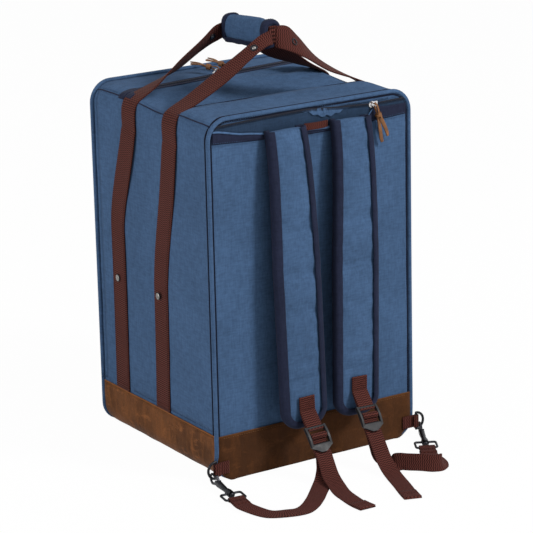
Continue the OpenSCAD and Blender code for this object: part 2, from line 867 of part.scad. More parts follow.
module lower_web(x, lean, s, route, turn, side, fold = -1) {
    start = [for (z = [web_play, 10]) from_buckle(x, lean, s, [0, load_y, web_out_z - z])];
    end = [for (l = [14, 2 * gap]) hook_origin(side) + hook_way(turn) * (web_end_l + l)];
    points = concat(start, from_back(route), end);
    color(maroon) ribbon(points, flat_sides(points, lean, 4, fold), web_w, web_t);
}

// ---------- D-rings, snap hooks and swivels ----------

wire_r = ring_wire_d / 2;
ring_x = hw + 7;                       // the ring hinges on this upright line
ring_y = -hd - piping_r - gap - web_t;
ring_low = 9;                          // height of the ring's lowest wire
hook_in = 6;                           // how far out along the ring's arch the hook sits
hook_play = 1.7;                       // how far the ring's wire lies off the bow's middle
function hook_origin(side) =
    let (r = ring_h / 2) [side * (ring_x + hook_in), ring_y, ring_low + r - sqrt(r * r - hook_in * hook_in)];
function hook_way(turn) = [sin(turn) * cos(hook_dip), -cos(turn) * cos(hook_dip), -sin(hook_dip)];

module ring_tab(side) {
    low = ring_low + wire_r + 1;
    tall = ring_h - 2 * wire_r - 2;
    difference() {
        union() {
            translate([side > 0 ? hw - 14 : -ring_x, ring_y, low])
                cube([ring_x - hw + 14, web_t, tall]);
            translate([side * ring_x, ring_y, low])
                cylinder(h = tall, r = wire_r + bore_gap + web_t);
        }
        translate([side * ring_x, ring_y, 0]) cylinder(h = 2 * bag_h, r = wire_r + bore_gap);
        piping_ring(-hd);
    }
}

module ring_tabs() {
    color(maroon) for (side = [-1, 1]) ring_tab(side);
}

module d_ring(side) {
    r = ring_h / 2;
    color(hardware) translate([side * ring_x, ring_y, ring_low]) {
        cylinder(h = ring_h, r = wire_r);
        for (z = [0, ring_h]) translate([0, 0, z]) sphere(wire_r);
        translate([0, 0, r]) rotate([90, side * 90, 0])
            rotate_extrude(angle = 180) translate([r, 0]) circle(wire_r);
    }
}

module d_ring_left() {
    d_ring(-1);
}

module d_ring_right() {
    d_ring(1);
}

// A round rod between two points.
module rod(a, b, r) {
    d = b - a;
    translate(a) towards(d) cylinder(h = norm(d), r = r);
}

// Children are moved from a hook's own place, its bow round the origin and its swivel along +X.
module on_hook(side, turn) {
    translate(hook_origin(side)) rotate([0, hook_dip, turn - 90]) translate([hook_play, 0, 0])
        children();
}

pivot_x = 17;                          // the gate's pin
pivot_z = 3.6;
pin_r = 0.9;
slot_w = 3.4;
hub_l = 9;
hub_r = 5;
head_l = 2.6;
shank_end = hook_l - hub_l - head_l - 2 * gap;
loop_bar_x = hook_l + 11;
loop_half = web_w / 2 + 2.4;
web_end_l = loop_bar_x + hook_play + 16;

// Half section of the turned shank, its axis along X.
module shank_section() {
    r = shank_d / 2;
    polygon([[0, 12], [r * 0.75, 12], [r, 19], [r * 0.72, shank_end - 7], [r * 0.72, shank_end - 5],
             [r * 0.9, shank_end - 4], [r * 0.9, shank_end], [stem_d / 2, shank_end],
             [stem_d / 2, hook_l - head_l], [stem_d * 0.8, hook_l - head_l],
             [stem_d * 0.8, hook_l - 1], [stem_d * 0.5, hook_l], [0, hook_l]]);
}

module snap_hook(side, turn) {
    flat = shank_d * 0.78;
    color(hardware) on_hook(side, turn) {
        rotate([90, 0, 0]) rotate([0, 0, 100]) rotate_extrude(angle = 170)
            translate([bow_r, 0]) circle(bow_d / 2);
        rod([-0.4, 0, -bow_r], [15, 0, -2.4], bow_d / 2 + 0.2);
        difference() {
            intersection() {
                rotate([0, 90, 0]) rotate_extrude() shank_section();
                translate([0, -flat / 2, -shank_d]) cube([2 * hook_l, flat, 2 * shank_d]);
            }
            translate([0, -slot_w / 2, -0.6]) cube([pivot_x + 4, slot_w, shank_d]);
        }
        translate([pivot_x, flat / 2, pivot_z]) rotate([90, 0, 0]) cylinder(h = flat, r = pin_r);
    }
}

module snap_gate(side, turn) {
    thick = slot_w - 2 * gap;
    color(hardware) on_hook(side, turn) difference() {
        union() {
            rod([bow_d * 0.6, 0, bow_r - 0.2], [pivot_x, 0, pivot_z + 0.2], thick / 2);
            translate([pivot_x, thick / 2, pivot_z]) rotate([90, 0, 0]) cylinder(h = thick, r = 2.5);
            translate([0, thick / 2, 0]) rotate([90, 0, 0]) linear_extrude(thick)
                polygon([[pivot_x + 2, pivot_z + 1], [pivot_x + 0.5, pivot_z + 3],
                         [pivot_x - 3, pivot_z + 6.4], [pivot_x - 6, pivot_z + 6.4],
                         [pivot_x - 6, pivot_z + 5.4], [pivot_x - 4, pivot_z + 2]]);
        }
        translate([pivot_x, thick, pivot_z]) rotate([90, 0, 0])
            cylinder(h = 2 * thick, r = pin_r + bore_gap);
    }
}

module snap_hook_left() {
    snap_hook(-1, left_hook_turn);
}

module snap_hook_right() {
    snap_hook(1, right_hook_turn);
}

module snap_gate_left() {
    snap_gate(-1, left_hook_turn);
}

module snap_gate_right() {
    snap_gate(1, right_hook_turn);
}

module swivel_loop(side, turn) {
    r = loop_wire_d / 2;
    corner = 3;
    near = shank_end + gap + hub_l / 2;
    color(hardware) on_hook(side, turn) {
        difference() {
            union() {
                translate([shank_end + gap, 0, 0]) rotate([0, 90, 0]) cylinder(h = hub_l, r = hub_r);
                for (s = [-1, 1]) {
                    rod([near, s * (stem_d / 2 + 1), 0], [near, s * (loop_half - corner), 0], r);
                    translate([near + corner, s * (loop_half - corner), 0])
                        rotate([0, 0, s > 0 ? 90 : 180]) rotate_extrude(angle = 90)
                            translate([corner, 0]) circle(r);
                    rod([near + corner, s * loop_half, 0], [loop_bar_x - corner, s * loop_half, 0], r);
                    translate([loop_bar_x - corner, s * (loop_half - corner), 0])
                        rotate([0, 0, s > 0 ? 0 : -90]) rotate_extrude(angle = 90)
                            translate([corner, 0]) circle(r);
                }
            }
            rotate([0, 90, 0]) cylinder(h = 2 * hook_l, r = stem_d / 2 + bore_gap);
        }
        rod([loop_bar_x, corner - loop_half, 0], [loop_bar_x, loop_half - corner, 0], r);
    }
}

module swivel_loop_left() {
    swivel_loop(-1, left_hook_turn);
}

module swivel_loop_right() {
    swivel_loop(1, right_hook_turn);
}

// The webbing's end, folded round the swivel loop's bar and sewn to itself.
module web_end(side, turn) {
    r = loop_wire_d / 2 + bore_gap;
    fold_w = 2 * (loop_half - 3) - 0.6;
    on_hook(side, turn) difference() {
        union() {
            translate([loop_bar_x, fold_w / 2, 0]) rotate([90, 0, 0]) cylinder(h = fold_w, r = r + web_t);
            translate([loop_bar_x, -fold_w / 2, -web_t])
                cube([web_end_l - hook_play - loop_bar_x, fold_w, 2 * web_t]);
        }
        translate([loop_bar_x, bag_w, 0]) rotate([90, 0, 0]) cylinder(h = 2 * bag_w, r = r);
    }
}

module web_ends() {
    color(maroon) {
        web_end(-1, left_hook_turn);
        web_end(1, right_hook_turn);
    }
}

module pad_web_left() {
    pad_web(pad_left_x, pad_left_lean, buckle_left_s);
}

module pad_web_right() {
    pad_web(pad_right_x, pad_right_lean, buckle_right_s);
}

module buckle_left() {
    buckle(pad_left_x, pad_left_lean, buckle_left_s);
}

module buckle_right() {
    buckle(pad_right_x, pad_right_lean, buckle_right_s);
}

module buckle_web_left() {
    buckle_web(pad_left_x, pad_left_lean, buckle_left_s);
}

module buckle_web_right() {
    buckle_web(pad_right_x, pad_right_lean, buckle_right_s);
}

module tail_left() {
    tail(pad_left_x, pad_left_lean, buckle_left_s, tail_left_route);
}

module tail_right() {
    tail(pad_right_x, pad_right_lean, buckle_right_s, tail_right_route);
}

module lower_web_left() {
    lower_web(pad_left_x, pad_left_lean, buckle_left_s, lower_left_route, left_hook_turn, -1);
}

module lower_web_right() {
    lower_web(pad_right_x, pad_right_lean, buckle_right_s, lower_right_route, right_hook_turn, 1,
              len(lower_right_route));
}

back_panel();
pocket_panel();
pocket_zip_tape();
pocket_lip();
haul_loop();
left_panel();
right_panel();
top_rear_panel();
bottom_panel();
front_base_panel();
base_board();
suede_band();
back_piping();
front_piping_base();
zip_tape_body();
zip_coil_body();
handle_webs();
side_rivets();
ring_tabs();
front_panel();
door_top_strip();
door_side_strip();
front_piping();
zip_tape_door();
zip_coil_door();
grip_wrap();
grip_binding();
grip_rivets();
handle_loop_left();
handle_loop_right();
main_slider_left();
main_slider_right();
main_pull_left();
main_pull_right();
pocket_slider();
pocket_pull();
pad_left();
pad_right();
pad_binding_left();
pad_binding_right();
pad_web_left();
pad_web_right();
tail_left();
tail_right();
buckle_left();
buckle_right();
buckle_web_left();
buckle_web_right();
d_ring_left();
d_ring_right();
snap_hook_left();
snap_hook_right();
snap_gate_left();
snap_gate_right();
swivel_loop_left();
swivel_loop_right();
web_ends();
lower_web_left();
lower_web_right();
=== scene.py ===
"""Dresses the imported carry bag: padded walls, piping, zips, straps, leather pulls and hardware."""

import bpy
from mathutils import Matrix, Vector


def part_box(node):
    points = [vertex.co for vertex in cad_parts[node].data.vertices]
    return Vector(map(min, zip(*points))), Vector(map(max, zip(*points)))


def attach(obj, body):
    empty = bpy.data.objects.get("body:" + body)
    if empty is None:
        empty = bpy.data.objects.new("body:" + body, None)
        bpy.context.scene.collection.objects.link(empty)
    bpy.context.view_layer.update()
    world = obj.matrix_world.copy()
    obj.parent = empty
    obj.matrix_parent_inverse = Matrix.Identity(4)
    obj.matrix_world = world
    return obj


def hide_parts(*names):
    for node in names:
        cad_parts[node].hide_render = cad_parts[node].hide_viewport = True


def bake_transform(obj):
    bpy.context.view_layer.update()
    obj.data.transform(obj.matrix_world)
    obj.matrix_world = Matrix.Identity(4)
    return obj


bl_info = {
    "name": "Box Drum Carry Bag",
    "version": (1, 0, 0),
    "blender": (4, 5, 0),
    "location": "3D Viewport > Sidebar > Carry Bag",
    "description": "Padded walls, piping, zips, straps, leather pulls and hardware of the packed carry bag",
    "category": "Object",
}

import math

import bmesh
import bpy
from mathutils import Matrix, Vector, noise

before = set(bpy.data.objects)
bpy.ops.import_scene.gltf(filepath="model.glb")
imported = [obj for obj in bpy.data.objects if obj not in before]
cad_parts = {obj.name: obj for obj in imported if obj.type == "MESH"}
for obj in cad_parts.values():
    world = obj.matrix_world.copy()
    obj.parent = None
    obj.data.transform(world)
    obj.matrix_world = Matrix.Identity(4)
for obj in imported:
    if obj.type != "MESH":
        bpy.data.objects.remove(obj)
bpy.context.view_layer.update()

MM = 0.001
UP = Vector((0, 0, 1))
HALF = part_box("right_panel")[1].x / MM
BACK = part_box("pocket_panel")[0].y / MM
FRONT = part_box("front_panel")[1].y / MM
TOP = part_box("top_rear_panel")[1].z / MM
LEFT_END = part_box("left_panel")[1].y / MM
SUEDE_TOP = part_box("suede_band")[1].z / MM
DOOR_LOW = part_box("front_panel")[0].z / MM
BASE_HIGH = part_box("front_base_panel")[1].z / MM
SEAM_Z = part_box("door_top_strip")[0].z / MM
TOP_R = 28.0
BASE_R = 30.0
PIPE_R = 3.0
PIPE_OUT = 1.6
ZIP_LEFT = 70.0
ZIP_SLOPE = 34.0 / 320.0
ZIP_GAP = 0.6
STRIP_EDGE = -73.0
STRIP_BEND = 4.0
WEB_T = 2.0
COIL_PITCH = 1.5
WELD = 0.02

# pitch, length and thickness of the stitches of each kind of seam
TAPE_SEAM = (3.4, 2.3, 0.25)
FINE_SEAM = (3.4, 2.3, 0.28)
BOX_SEAM = (3.0, 2.1, 0.3)
HEM_SEAM = (3.0, 2.1, 0.28)
TACK_SEAM = (3.2, 2.2, 0.3)
EDGE_SEAM = (3.8, 2.4, 0.26)


# ---------- small maths ----------

def ease(low, high, value):
    """0 below low, 1 above high, and smooth between them."""
    t = min(1.0, max(0.0, (value - low) / (high - low)))
    return t * t * (3 - 2 * t)


def hump(middle, reach, value):
    """1 at the middle, falling smoothly to 0 about two reaches away."""
    return math.exp(-((value - middle) / reach) ** 2)


def spread(low, high, count):
    """Evenly spaced numbers from low to high, both included."""
    return [low + (high - low) * k / count for k in range(count + 1)]


def turn_angles(count):
    """Evenly spaced angles of a full turn."""
    return [2 * math.pi * k / count for k in range(count)]


def zip_y(x):
    """Where the zip's line crosses the bag at x."""
    return ZIP_LEFT + ZIP_SLOPE * (x + HALF)


def strip_edge(x):
    """Front edge of the stiff rear strip on the top."""
    return STRIP_EDGE - STRIP_BEND * (x / HALF) ** 3


def half_width(z):
    """Half the bag's width at a height."""
    if z < BASE_R:
        return HALF - BASE_R + math.sqrt(max(0.0, BASE_R ** 2 - (BASE_R - z) ** 2))
    if z > TOP - TOP_R:
        return HALF - TOP_R + math.sqrt(max(0.0, TOP_R ** 2 - (z - TOP + TOP_R) ** 2))
    return HALF


def settle(p):
    """Where a point of the stiff box lies on the soft bag, in millimetres."""
    x, y, z = p
    sizes = bpy.context.scene.carry_bag_sizes
    inside = math.sqrt(max(0.0, 1 - (x / HALF) ** 2))
    flat = max(0.0, 1 - abs(x / HALF) ** 7)
    up = ease(TOP - 60, TOP - 6, z)
    line = zip_y(x)
    # the top drops steeply in front of the rear strip, then rises to the zip
    crest_y = strip_edge(x)
    step = ease(crest_y - 2, crest_y + 12, y) * (1 - ease(crest_y + 40, line - 6, y))
    depth = sizes.top_sag / MM * (0.8 + 0.2 * ease(-60, 60, x))
    crown = hump(crest_y - 10, 24, y) * 4.2 + hump(line + 34, 20, y) * 1.5
    z -= up * flat * (depth * step - crown)
    # a fan of creases behind the zip's right half
    fan = ease(5, 110, x) * (1 - ease(142, 156, x))
    fold = (line - 10 - y) / (10 + 22 * fan)
    z += up * fan * 2.6 * math.sin(2 * math.pi * fold) * hump(0.9, 0.85, fold) * ease(0.0, 0.2, fold)
    # full corners along the top
    corner = hump(HALF - 8, 11, abs(x)) * hump(TOP - 8, 11, z)
    middle = 1 - ease(0.86, 1.0, abs(y) / FRONT)
    x += math.copysign(2.6 * corner, x) * middle
    z += 2.6 * corner * middle
    # soft side walls
    tall = math.sin(math.pi * min(1.0, max(0.0, (z - 40) / (TOP - 60))))
    deep = math.cos(math.pi * y / (2 * FRONT + 12))
    at_side = ease(HALF - 16, HALF - 4, abs(x))
    hollow = sizes.side_hollow / MM * tall * deep * (0.75 + 0.25 * math.cos(y / 21.0))
    x -= math.copysign(at_side * hollow, x)
    # the back and front give a little as well
    at_face = ease(FRONT - 16, FRONT - 4, abs(y))
    wave = 0.9 * math.sin(z / 63.0 + x / 47.0) + 0.6 * math.sin(z / 29.0 - x / 71.0)
    y -= math.copysign(at_face * tall * inside * (0.8 + 0.5 * wave), y)
    return Vector((x, y, z))


def ripple(p, size, reach):
    """Small unevenness of cloth."""
    return noise.noise(Vector(p) / reach) * size


def smooth_path(points, steps):
    """A smooth curve through the points."""
    pts = [Vector(p) for p in points]
    out = []
    for i in range(len(pts) - 1):
        a, b, c, d = pts[max(i - 1, 0)], pts[i], pts[i + 1], pts[min(i + 2, len(pts) - 1)]
        for k in range(steps):
            t = k / steps
            out.append(0.5 * (2 * b + (c - a) * t + (2 * a - 5 * b + 4 * c - d) * t * t
                              + (3 * b - a - 3 * c + d) * t ** 3))
    out.append(pts[-1])
    return out


def spaced(points, pitch):
    """Points at an even pitch along a polyline, each with its direction."""
    out = []
    left = 0.0
    for a, b in zip(points, points[1:]):
        run = (b - a).length
        d = (b - a) / run
        s = left
        while s < run:
            out.append((a + d * s, d))
            s += pitch
        left = s - run
    return out


# ---------- meshes ----------

# every finish by its name, filled by make_finishes and build_stage
FINISHES = {}


def add_object(name, verts, faces, finish, cloth=None):
    """A new object from millimetre points. cloth holds across, along and the share of the half width."""
    mesh = bpy.data.meshes.new(name)
    mesh.from_pydata([Vector(v) * MM for v in verts], [], faces)
    if cloth:
        layer = mesh.attributes.new("cloth", "FLOAT_VECTOR", "POINT")
        for item, value in zip(layer.data, cloth):
            item.vector = value
    mesh.materials.append(FINISHES[finish])
    obj = bpy.data.objects.new(name, mesh)
    bpy.context.scene.collection.objects.link(obj)
    clean_mesh(obj)
    mesh.shade_smooth()
    return obj


def settle_piece(obj, body, slot, *nodes):
    """Gives a finished piece its body and hides the CAD nodes that it stands for. Its material slot is not
    used.
    """
    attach(obj, body)
    if nodes:
        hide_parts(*nodes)


def clean_mesh(obj):
    """Welds double points and turns all faces outwards."""
    bm = bmesh.new()
    bm.from_mesh(obj.data)
    bmesh.ops.remove_doubles(bm, verts=bm.verts, dist=WELD * MM)
    bmesh.ops.recalc_face_normals(bm, faces=bm.faces)
    bm.to_mesh(obj.data)
    bm.free()


def shape_outwards(obj, middle, move):
    """Turns the faces away from a middle point, then puts each point where move says, from its place in
    millimetres and its normal."""
    bm = bmesh.new()
    bm.from_mesh(obj.data)
    bm.normal_update()
    votes = sum(1 if f.normal.dot(f.calc_center_median() - Vector(middle)) > 0 else -1 for f in bm.faces)
    if votes < 0:
        bmesh.ops.reverse_faces(bm, faces=bm.faces)
    for v in bm.verts:
        v.co = move(v.co / MM, v.normal) * MM
    bm.to_mesh(obj.data)
    bm.free()


def bake_modifiers(obj):
    """Applies the object's modifiers to its mesh."""
    bpy.context.view_layer.update()
    evaluated = obj.evaluated_get(bpy.context.evaluated_depsgraph_get())
    mesh = bpy.data.meshes.new_from_object(evaluated, preserve_all_data_layers=True,
                                           depsgraph=bpy.context.evaluated_depsgraph_get())
    old = obj.data
    obj.modifiers.clear()
    obj.data = mesh
    bpy.data.meshes.remove(old)


def patch(verts, faces, rows):
    """Adds a grid of points to verts and its quads to faces."""
    start = len(verts)
    wide = len(rows[0])
    for row in rows:
        verts.extend(row)
    for i in range(len(rows) - 1):
        for k in range(wide - 1):
            a = start + i * wide + k
            faces.append((a, a + 1, a + wide + 1, a + wide))


def sweep(verts, faces, rings, closed=False, caps=True):
    """Adds a skin over a row of rings with the same number of points."""
    start = len(verts)
    n = len(rings[0])
    for ring in rings:
        verts.extend(ring)
    count = len(rings)
    for i in range(count if closed else count - 1):
        for k in range(n):
            a, b = start + i * n + k, start + i * n + (k + 1) % n
            c, d = start + (i + 1) % count * n + (k + 1) % n, start + (i + 1) % count * n + k
            faces.append((a, b, c, d))
    if caps and not closed:
        faces.append(tuple(start + k for k in range(n))[::-1])
        faces.append(tuple(start + (count - 1) * n + k for k in range(n)))


def heading(path, i):
    """Direction of a path at its point i."""
    return (path[min(i + 1, len(path) - 1)] - path[max(i - 1, 0)]).normalized()


def square_to(way, along):
    """A direction turned square to another."""
    return (way - along * way.dot(along)).normalized()


def cord_rings(path, radius, up=(0, 0, 1), sides=12):
    """Round rings along a path. up is any direction that the path doesn't take."""
    rings = []
    for i, p in enumerate(path):
        along = heading(path, i)
        lift = square_to(Vector(up), along)
        side = along.cross(lift)
        rings.append([p + (side * math.cos(a) + lift * math.sin(a)) * radius for a in turn_angles(sides)])
    return rings


def cord_piece(name, path, radius, finish, up=(0, 0, 1), sides=12, closed=False):
    """A round cord along a path."""
    verts, faces = [], []
    sweep(verts, faces, cord_rings(path, radius, up, sides), closed)
    cloth, run = [], 0.0
    for i, p in enumerate(path):
        if i:
            run += (p - path[i - 1]).length
        cloth += [(a * radius * MM, run * MM, 0) for a in turn_angles(sides)]
    return add_object(name, verts, faces, finish, cloth)


def strap_section(width, thick):
    """Rounded section of webbing: across, height."""
    r = thick * 0.42
    half = width / 2
    side = [(half - r * 0.3, thick * 0.36), (half, 0), (half - r * 0.3, -thick * 0.36)]
    points = [(x, thick / 2) for x in spread(r - half, half - r, 8)] + side
    return points + [(-x, -h) for x, h in points]


def strap_piece(name, path, across, width, thick, finish, lift=0.0):
    """Flat webbing along a path. across is the direction of its width, one or one for each point, whose
    length narrows it there. lift arches it."""
    verts, faces, rings, cloth = [], [], [], []
    run = 0.0
    for i, p in enumerate(path):
        along = heading(path, i)
        wide = across[i] if isinstance(across, list) else across
        half = width * wide.length / 2
        wide = square_to(wide, along)
        up = along.cross(wide)
        if i:
            run += (p - path[i - 1]).length
        ring = []
        for a, h in strap_section(2 * half, thick):
            ring.append(p + wide * a + up * (h + lift * (1 - (a / half) ** 2)))
            cloth.append((a * MM, run * MM, a / half))
        rings.append(ring)
    sweep(verts, faces, rings)
    return add_object(name, verts, faces, finish, cloth)


def sheet(name, rows, finish, thick=0.0, offset=-1.0):
    """Cloth over a grid of points, with a thickness."""
    verts, faces = [], []
    patch(verts, faces, rows)
    obj = add_object(name, verts, faces, finish)
    if thick:
        skin = obj.modifiers.new("skin", "SOLIDIFY")
        skin.thickness = thick * MM
        skin.offset = offset
        bake_modifiers(obj)
        obj.data.shade_smooth()
    return obj


def swept(name, rings, finish, closed=False, cloth=None):
    """A piece skinned over a row of rings."""
    verts, faces = [], []
    sweep(verts, faces, rings, closed)
    return add_object(name, verts, faces, finish, cloth)


def stitch_row(verts, faces, path, normals, pitch=3.6, length=2.5, radius=0.32, sink=0.1):
    """Adds a row of thread stitches that lie on a surface. normals is one direction or one for each point."""
    run = [0.0]
    for a, b in zip(path, path[1:]):
        run.append(run[-1] + (b - a).length)
    at, i = pitch / 2, 0
    while at < run[-1]:
        while run[i + 1] < at:
            i += 1
        t = (at - run[i]) / max(1e-6, run[i + 1] - run[i])
        p = path[i].lerp(path[i + 1], t)
        d = (path[i + 1] - path[i]).normalized()
        n = normals[i].lerp(normals[i + 1], t) if isinstance(normals, list) else Vector(normals)
        n = square_to(n, d)
        side = d.cross(n)
        rings = []
        for s, r in ((-0.5, 0.35), (-0.28, 1.0), (0.28, 1.0), (0.5, 0.35)):
            middle = p + d * (s * length) + n * ((0.4 if r > 0.5 else -0.3) * radius - sink)
            rings.append([middle + (side * math.cos(a) + n * math.sin(a)) * radius * r
                          for a in turn_angles(5)])
        sweep(verts, faces, rings)
        at += pitch


def stitches(name, rows, finish, body, slot, *gauge, sink=0.1):
    """Rows of stitches as one piece. Each row is its path and its outward direction, and gauge holds the
    stitches' pitch, length and thickness."""
    verts, faces = [], []
    for path, normals in rows:
        stitch_row(verts, faces, path, normals, *gauge, sink=sink)
    settle_piece(add_object(name, verts, faces, finish), body, slot)


def seam_pitch():
    """The panel's stitch pitch in millimetres."""
    return bpy.context.scene.carry_bag_sizes.stitch / MM


# ---------- shader maths ----------

class Signal:
    """An output socket that can stand in a sum."""

    def __init__(self, recipe, socket):
        self.recipe = recipe
        self.socket = socket

    def _math(self, operation, *values, clamp=False):
        return self.recipe.node("ShaderNodeMath", {"operation": operation, "use_clamp": clamp},
                                dict(enumerate(values)))

    def __add__(self, other):
        return self._math("ADD", self, other)

    __radd__ = __add__

    def __sub__(self, other):
        return self._math("SUBTRACT", self, other)

    def __rsub__(self, other):
        return self._math("SUBTRACT", other, self)

    def __mul__(self, other):
        return self._math("MULTIPLY", self, other)

    __rmul__ = __mul__

    def sine(self):
        return self._math("SINE", self)

    def absolute(self):
        return self._math("ABSOLUTE", self)

    def clipped(self):
        """Kept between 0 and 1."""
        return self._math("ADD", self, 0.0, clamp=True)


class Recipe:
    """The nodes of one material, or of the world."""

    def __init__(self, name, world=False):
        self.owner = (bpy.data.worlds if world else bpy.data.materials).new(name)
        self.output = "ShaderNodeOutputWorld" if world else "ShaderNodeOutputMaterial"
        self.owner.use_nodes = True
        self.tree = self.owner.node_tree
        self.tree.nodes.clear()

    def node(self, kind, settings=None, inputs=None, out=0):
        """Adds a node, sets it up, then fills its sockets with values or links."""
        made = self.tree.nodes.new(kind)
        for key, value in (settings or {}).items():
            setattr(made, key, value)
        for key, value in (inputs or {}).items():
            socket = made.inputs[key]
            if isinstance(value, Signal):
                self.tree.links.new(value.socket, socket)
            else:
                socket.default_value = value
        return Signal(self, made.outputs[out])

    def place(self):
        """The point of the surface in metres, at rest."""
        return self.node("ShaderNodeTexCoord", None, None, "Object")

    def cloth(self):
        """Across, along and the share of the half width, as three numbers."""
        kind = {"attribute_type": "GEOMETRY", "attribute_name": "cloth"}
        return self.split(self.node("ShaderNodeAttribute", kind, None, "Vector"))

    def split(self, vector):
        """A vector's three numbers."""
        made = self.node("ShaderNodeSeparateXYZ", None, {0: vector}, 0)
        outs = made.socket.node.outputs
        return [Signal(self, outs[k]) for k in range(3)]

    def scaled(self, vector, factor):
        return self.node("ShaderNodeVectorMath", {"operation": "MULTIPLY"}, {0: vector, 1: factor})

    def noise(self, vector, scale, detail=2.0, rough=0.5):
        return self.node("ShaderNodeTexNoise", {"noise_dimensions": "3D"},
                         {"Vector": vector, "Scale": scale, "Detail": detail, "Roughness": rough})

    def cells(self, vector, scale):
        return self.node("ShaderNodeTexVoronoi", {"feature": "F1"}, {"Vector": vector, "Scale": scale})

    def remap(self, value, low, high, new_low=0.0, new_high=1.0):
        """A number stretched from one range to another and kept in it."""
        return self.node("ShaderNodeMapRange", {"clamp": True},
                         {0: value, 1: low, 2: high, 3: new_low, 4: new_high})

    def mix(self, factor, a, b):
        """Mixes two colours."""
        kind = {"data_type": "RGBA", "blend_type": "MIX"}
        return self.node("ShaderNodeMix", kind, {0: factor, 6: a, 7: b}, 2)

    def darker(self, colour, share):
        """A socket's colour brought down to a share of itself."""
        return self.mix(1.0 - share, colour, (0.0, 0.0, 0.0, 1.0))

    def bump(self, height, distance, strength, below=None):
        """A bumpy normal, laid over the one below it."""
        inputs = {"Height": height, "Distance": distance, "Strength": strength}
        if below is not None:
            inputs["Normal"] = below
        return self.node("ShaderNodeBump", None, inputs)

    def finish(self, values):
        """The material of a shader whose sockets hold the values."""
        return self.show(self.node("ShaderNodeBsdfPrincipled", None, values))

    def show(self, shader):
        """Joins a shader to the output."""
        out = self.tree.nodes.new(self.output)
        self.tree.links.new(shader.socket, out.inputs["Surface"])
        return self.owner


def tint(colour, share=1.0):
    """A colour property as a socket value, darker or lighter by share."""
    return tuple(min(1.0, c * share) for c in colour[:3]) + (1.0,)


# ---------- materials ----------

def woven(name, colour, pale=0.16, strand=0.9, rough=0.85):
    """Plain strong cloth with lighter threads. strand is the spacing of its twill lines."""
    r = Recipe(name)
    place = r.place()
    x, y, z = r.split(place)
    turn = 2 * math.pi / (strand * MM)
    twill = ((x + y + z) * turn).sine() * 0.5 + 0.5
    cross = ((x - y + z * 0.93) * (turn * 0.81)).sine() * 0.5 + 0.5
    weave = twill * 0.6 + cross * 0.4
    slub = r.noise(r.scaled(place, (420.0, 420.0, 90.0)), 1.0, 3.0)
    weft = r.noise(r.scaled(place, (90.0, 90.0, 420.0)), 1.0, 3.0)
    fleck = r.noise(place, 700.0, 2.0)
    cloud = r.noise(place, 12.0, 5.0, 0.65)
    light = (slub * 0.5 + weft * 0.5 + fleck * 0.4 + weave * 0.2 - 0.42).clipped()
    base = r.mix(r.remap(cloud, 0.32, 0.68), tint(colour, 0.84), tint(colour, 1.12))
    base = r.mix(r.remap(slub * 0.5 + weft * 0.5, 0.38, 0.62), r.darker(base, 0.72), base)
    base = r.mix(light * pale * 3.0, base, tint(colour, 1.6))
    base = r.mix((1 - weave) * 0.22, base, tint(colour, 0.62))
    fuzz = r.noise(place, 2600.0, 1.0)
    bump = r.bump(weave * 0.7 + fuzz * 0.3, 0.00012, 0.8)
    bump = r.bump(r.noise(place, 60.0, 2.0), 0.0008, 0.25, bump)
    worn = r.remap(fleck, 0.2, 0.8, rough - 0.07, rough + 0.1)
    return r.finish({"Base Color": base, "Roughness": worn, "Normal": bump, "Sheen Weight": 0.02,
                     "Sheen Roughness": 0.5, "Specular IOR Level": 0.05})


def webbing(name, colour):
    """Ribbed webbing: fine ribs across it and a firm edge."""
    r = Recipe(name)
    across, along, share = r.cloth()
    place = r.place()
    full = 2 * math.pi / MM
    lean = (across * (full / 5.2)).sine()
    rib = (along * (full / 3.0) + lean * 1.1).sine() * 0.5 + 0.5
    column = (across * (full / 2.1)).sine() * 0.5 + 0.5
    edge = r.remap(share.absolute(), 0.88, 0.95)
    cloud = r.noise(place, 30.0, 3.0)
    fleck = r.noise(place, 900.0, 2.0)
    base = r.mix(r.remap(cloud, 0.3, 0.7), tint(colour, 0.86), tint(colour, 1.1))
    base = r.mix(r.remap(rib, 0.1, 0.6), r.darker(base, 0.4), base)
    base = r.mix(r.remap(rib, 0.45, 0.95) * 0.8, base, tint(colour, 2.3))
    base = r.mix(r.remap(fleck, 0.55, 0.8) * 0.3, base, tint(colour, 1.9))
    base = r.mix(edge * 0.35, base, tint(colour, 0.6))
    bump = r.bump(rib * 0.7 + column * 0.3, 0.00035, 0.9)
    bump = r.bump(edge, 0.0003, 0.5, bump)
    return r.finish({"Base Color": base, "Roughness": r.remap(fleck, 0.2, 0.8, 0.62, 0.86), "Normal": bump,
                     "Sheen Weight": 0.02, "Specular IOR Level": 0.06})


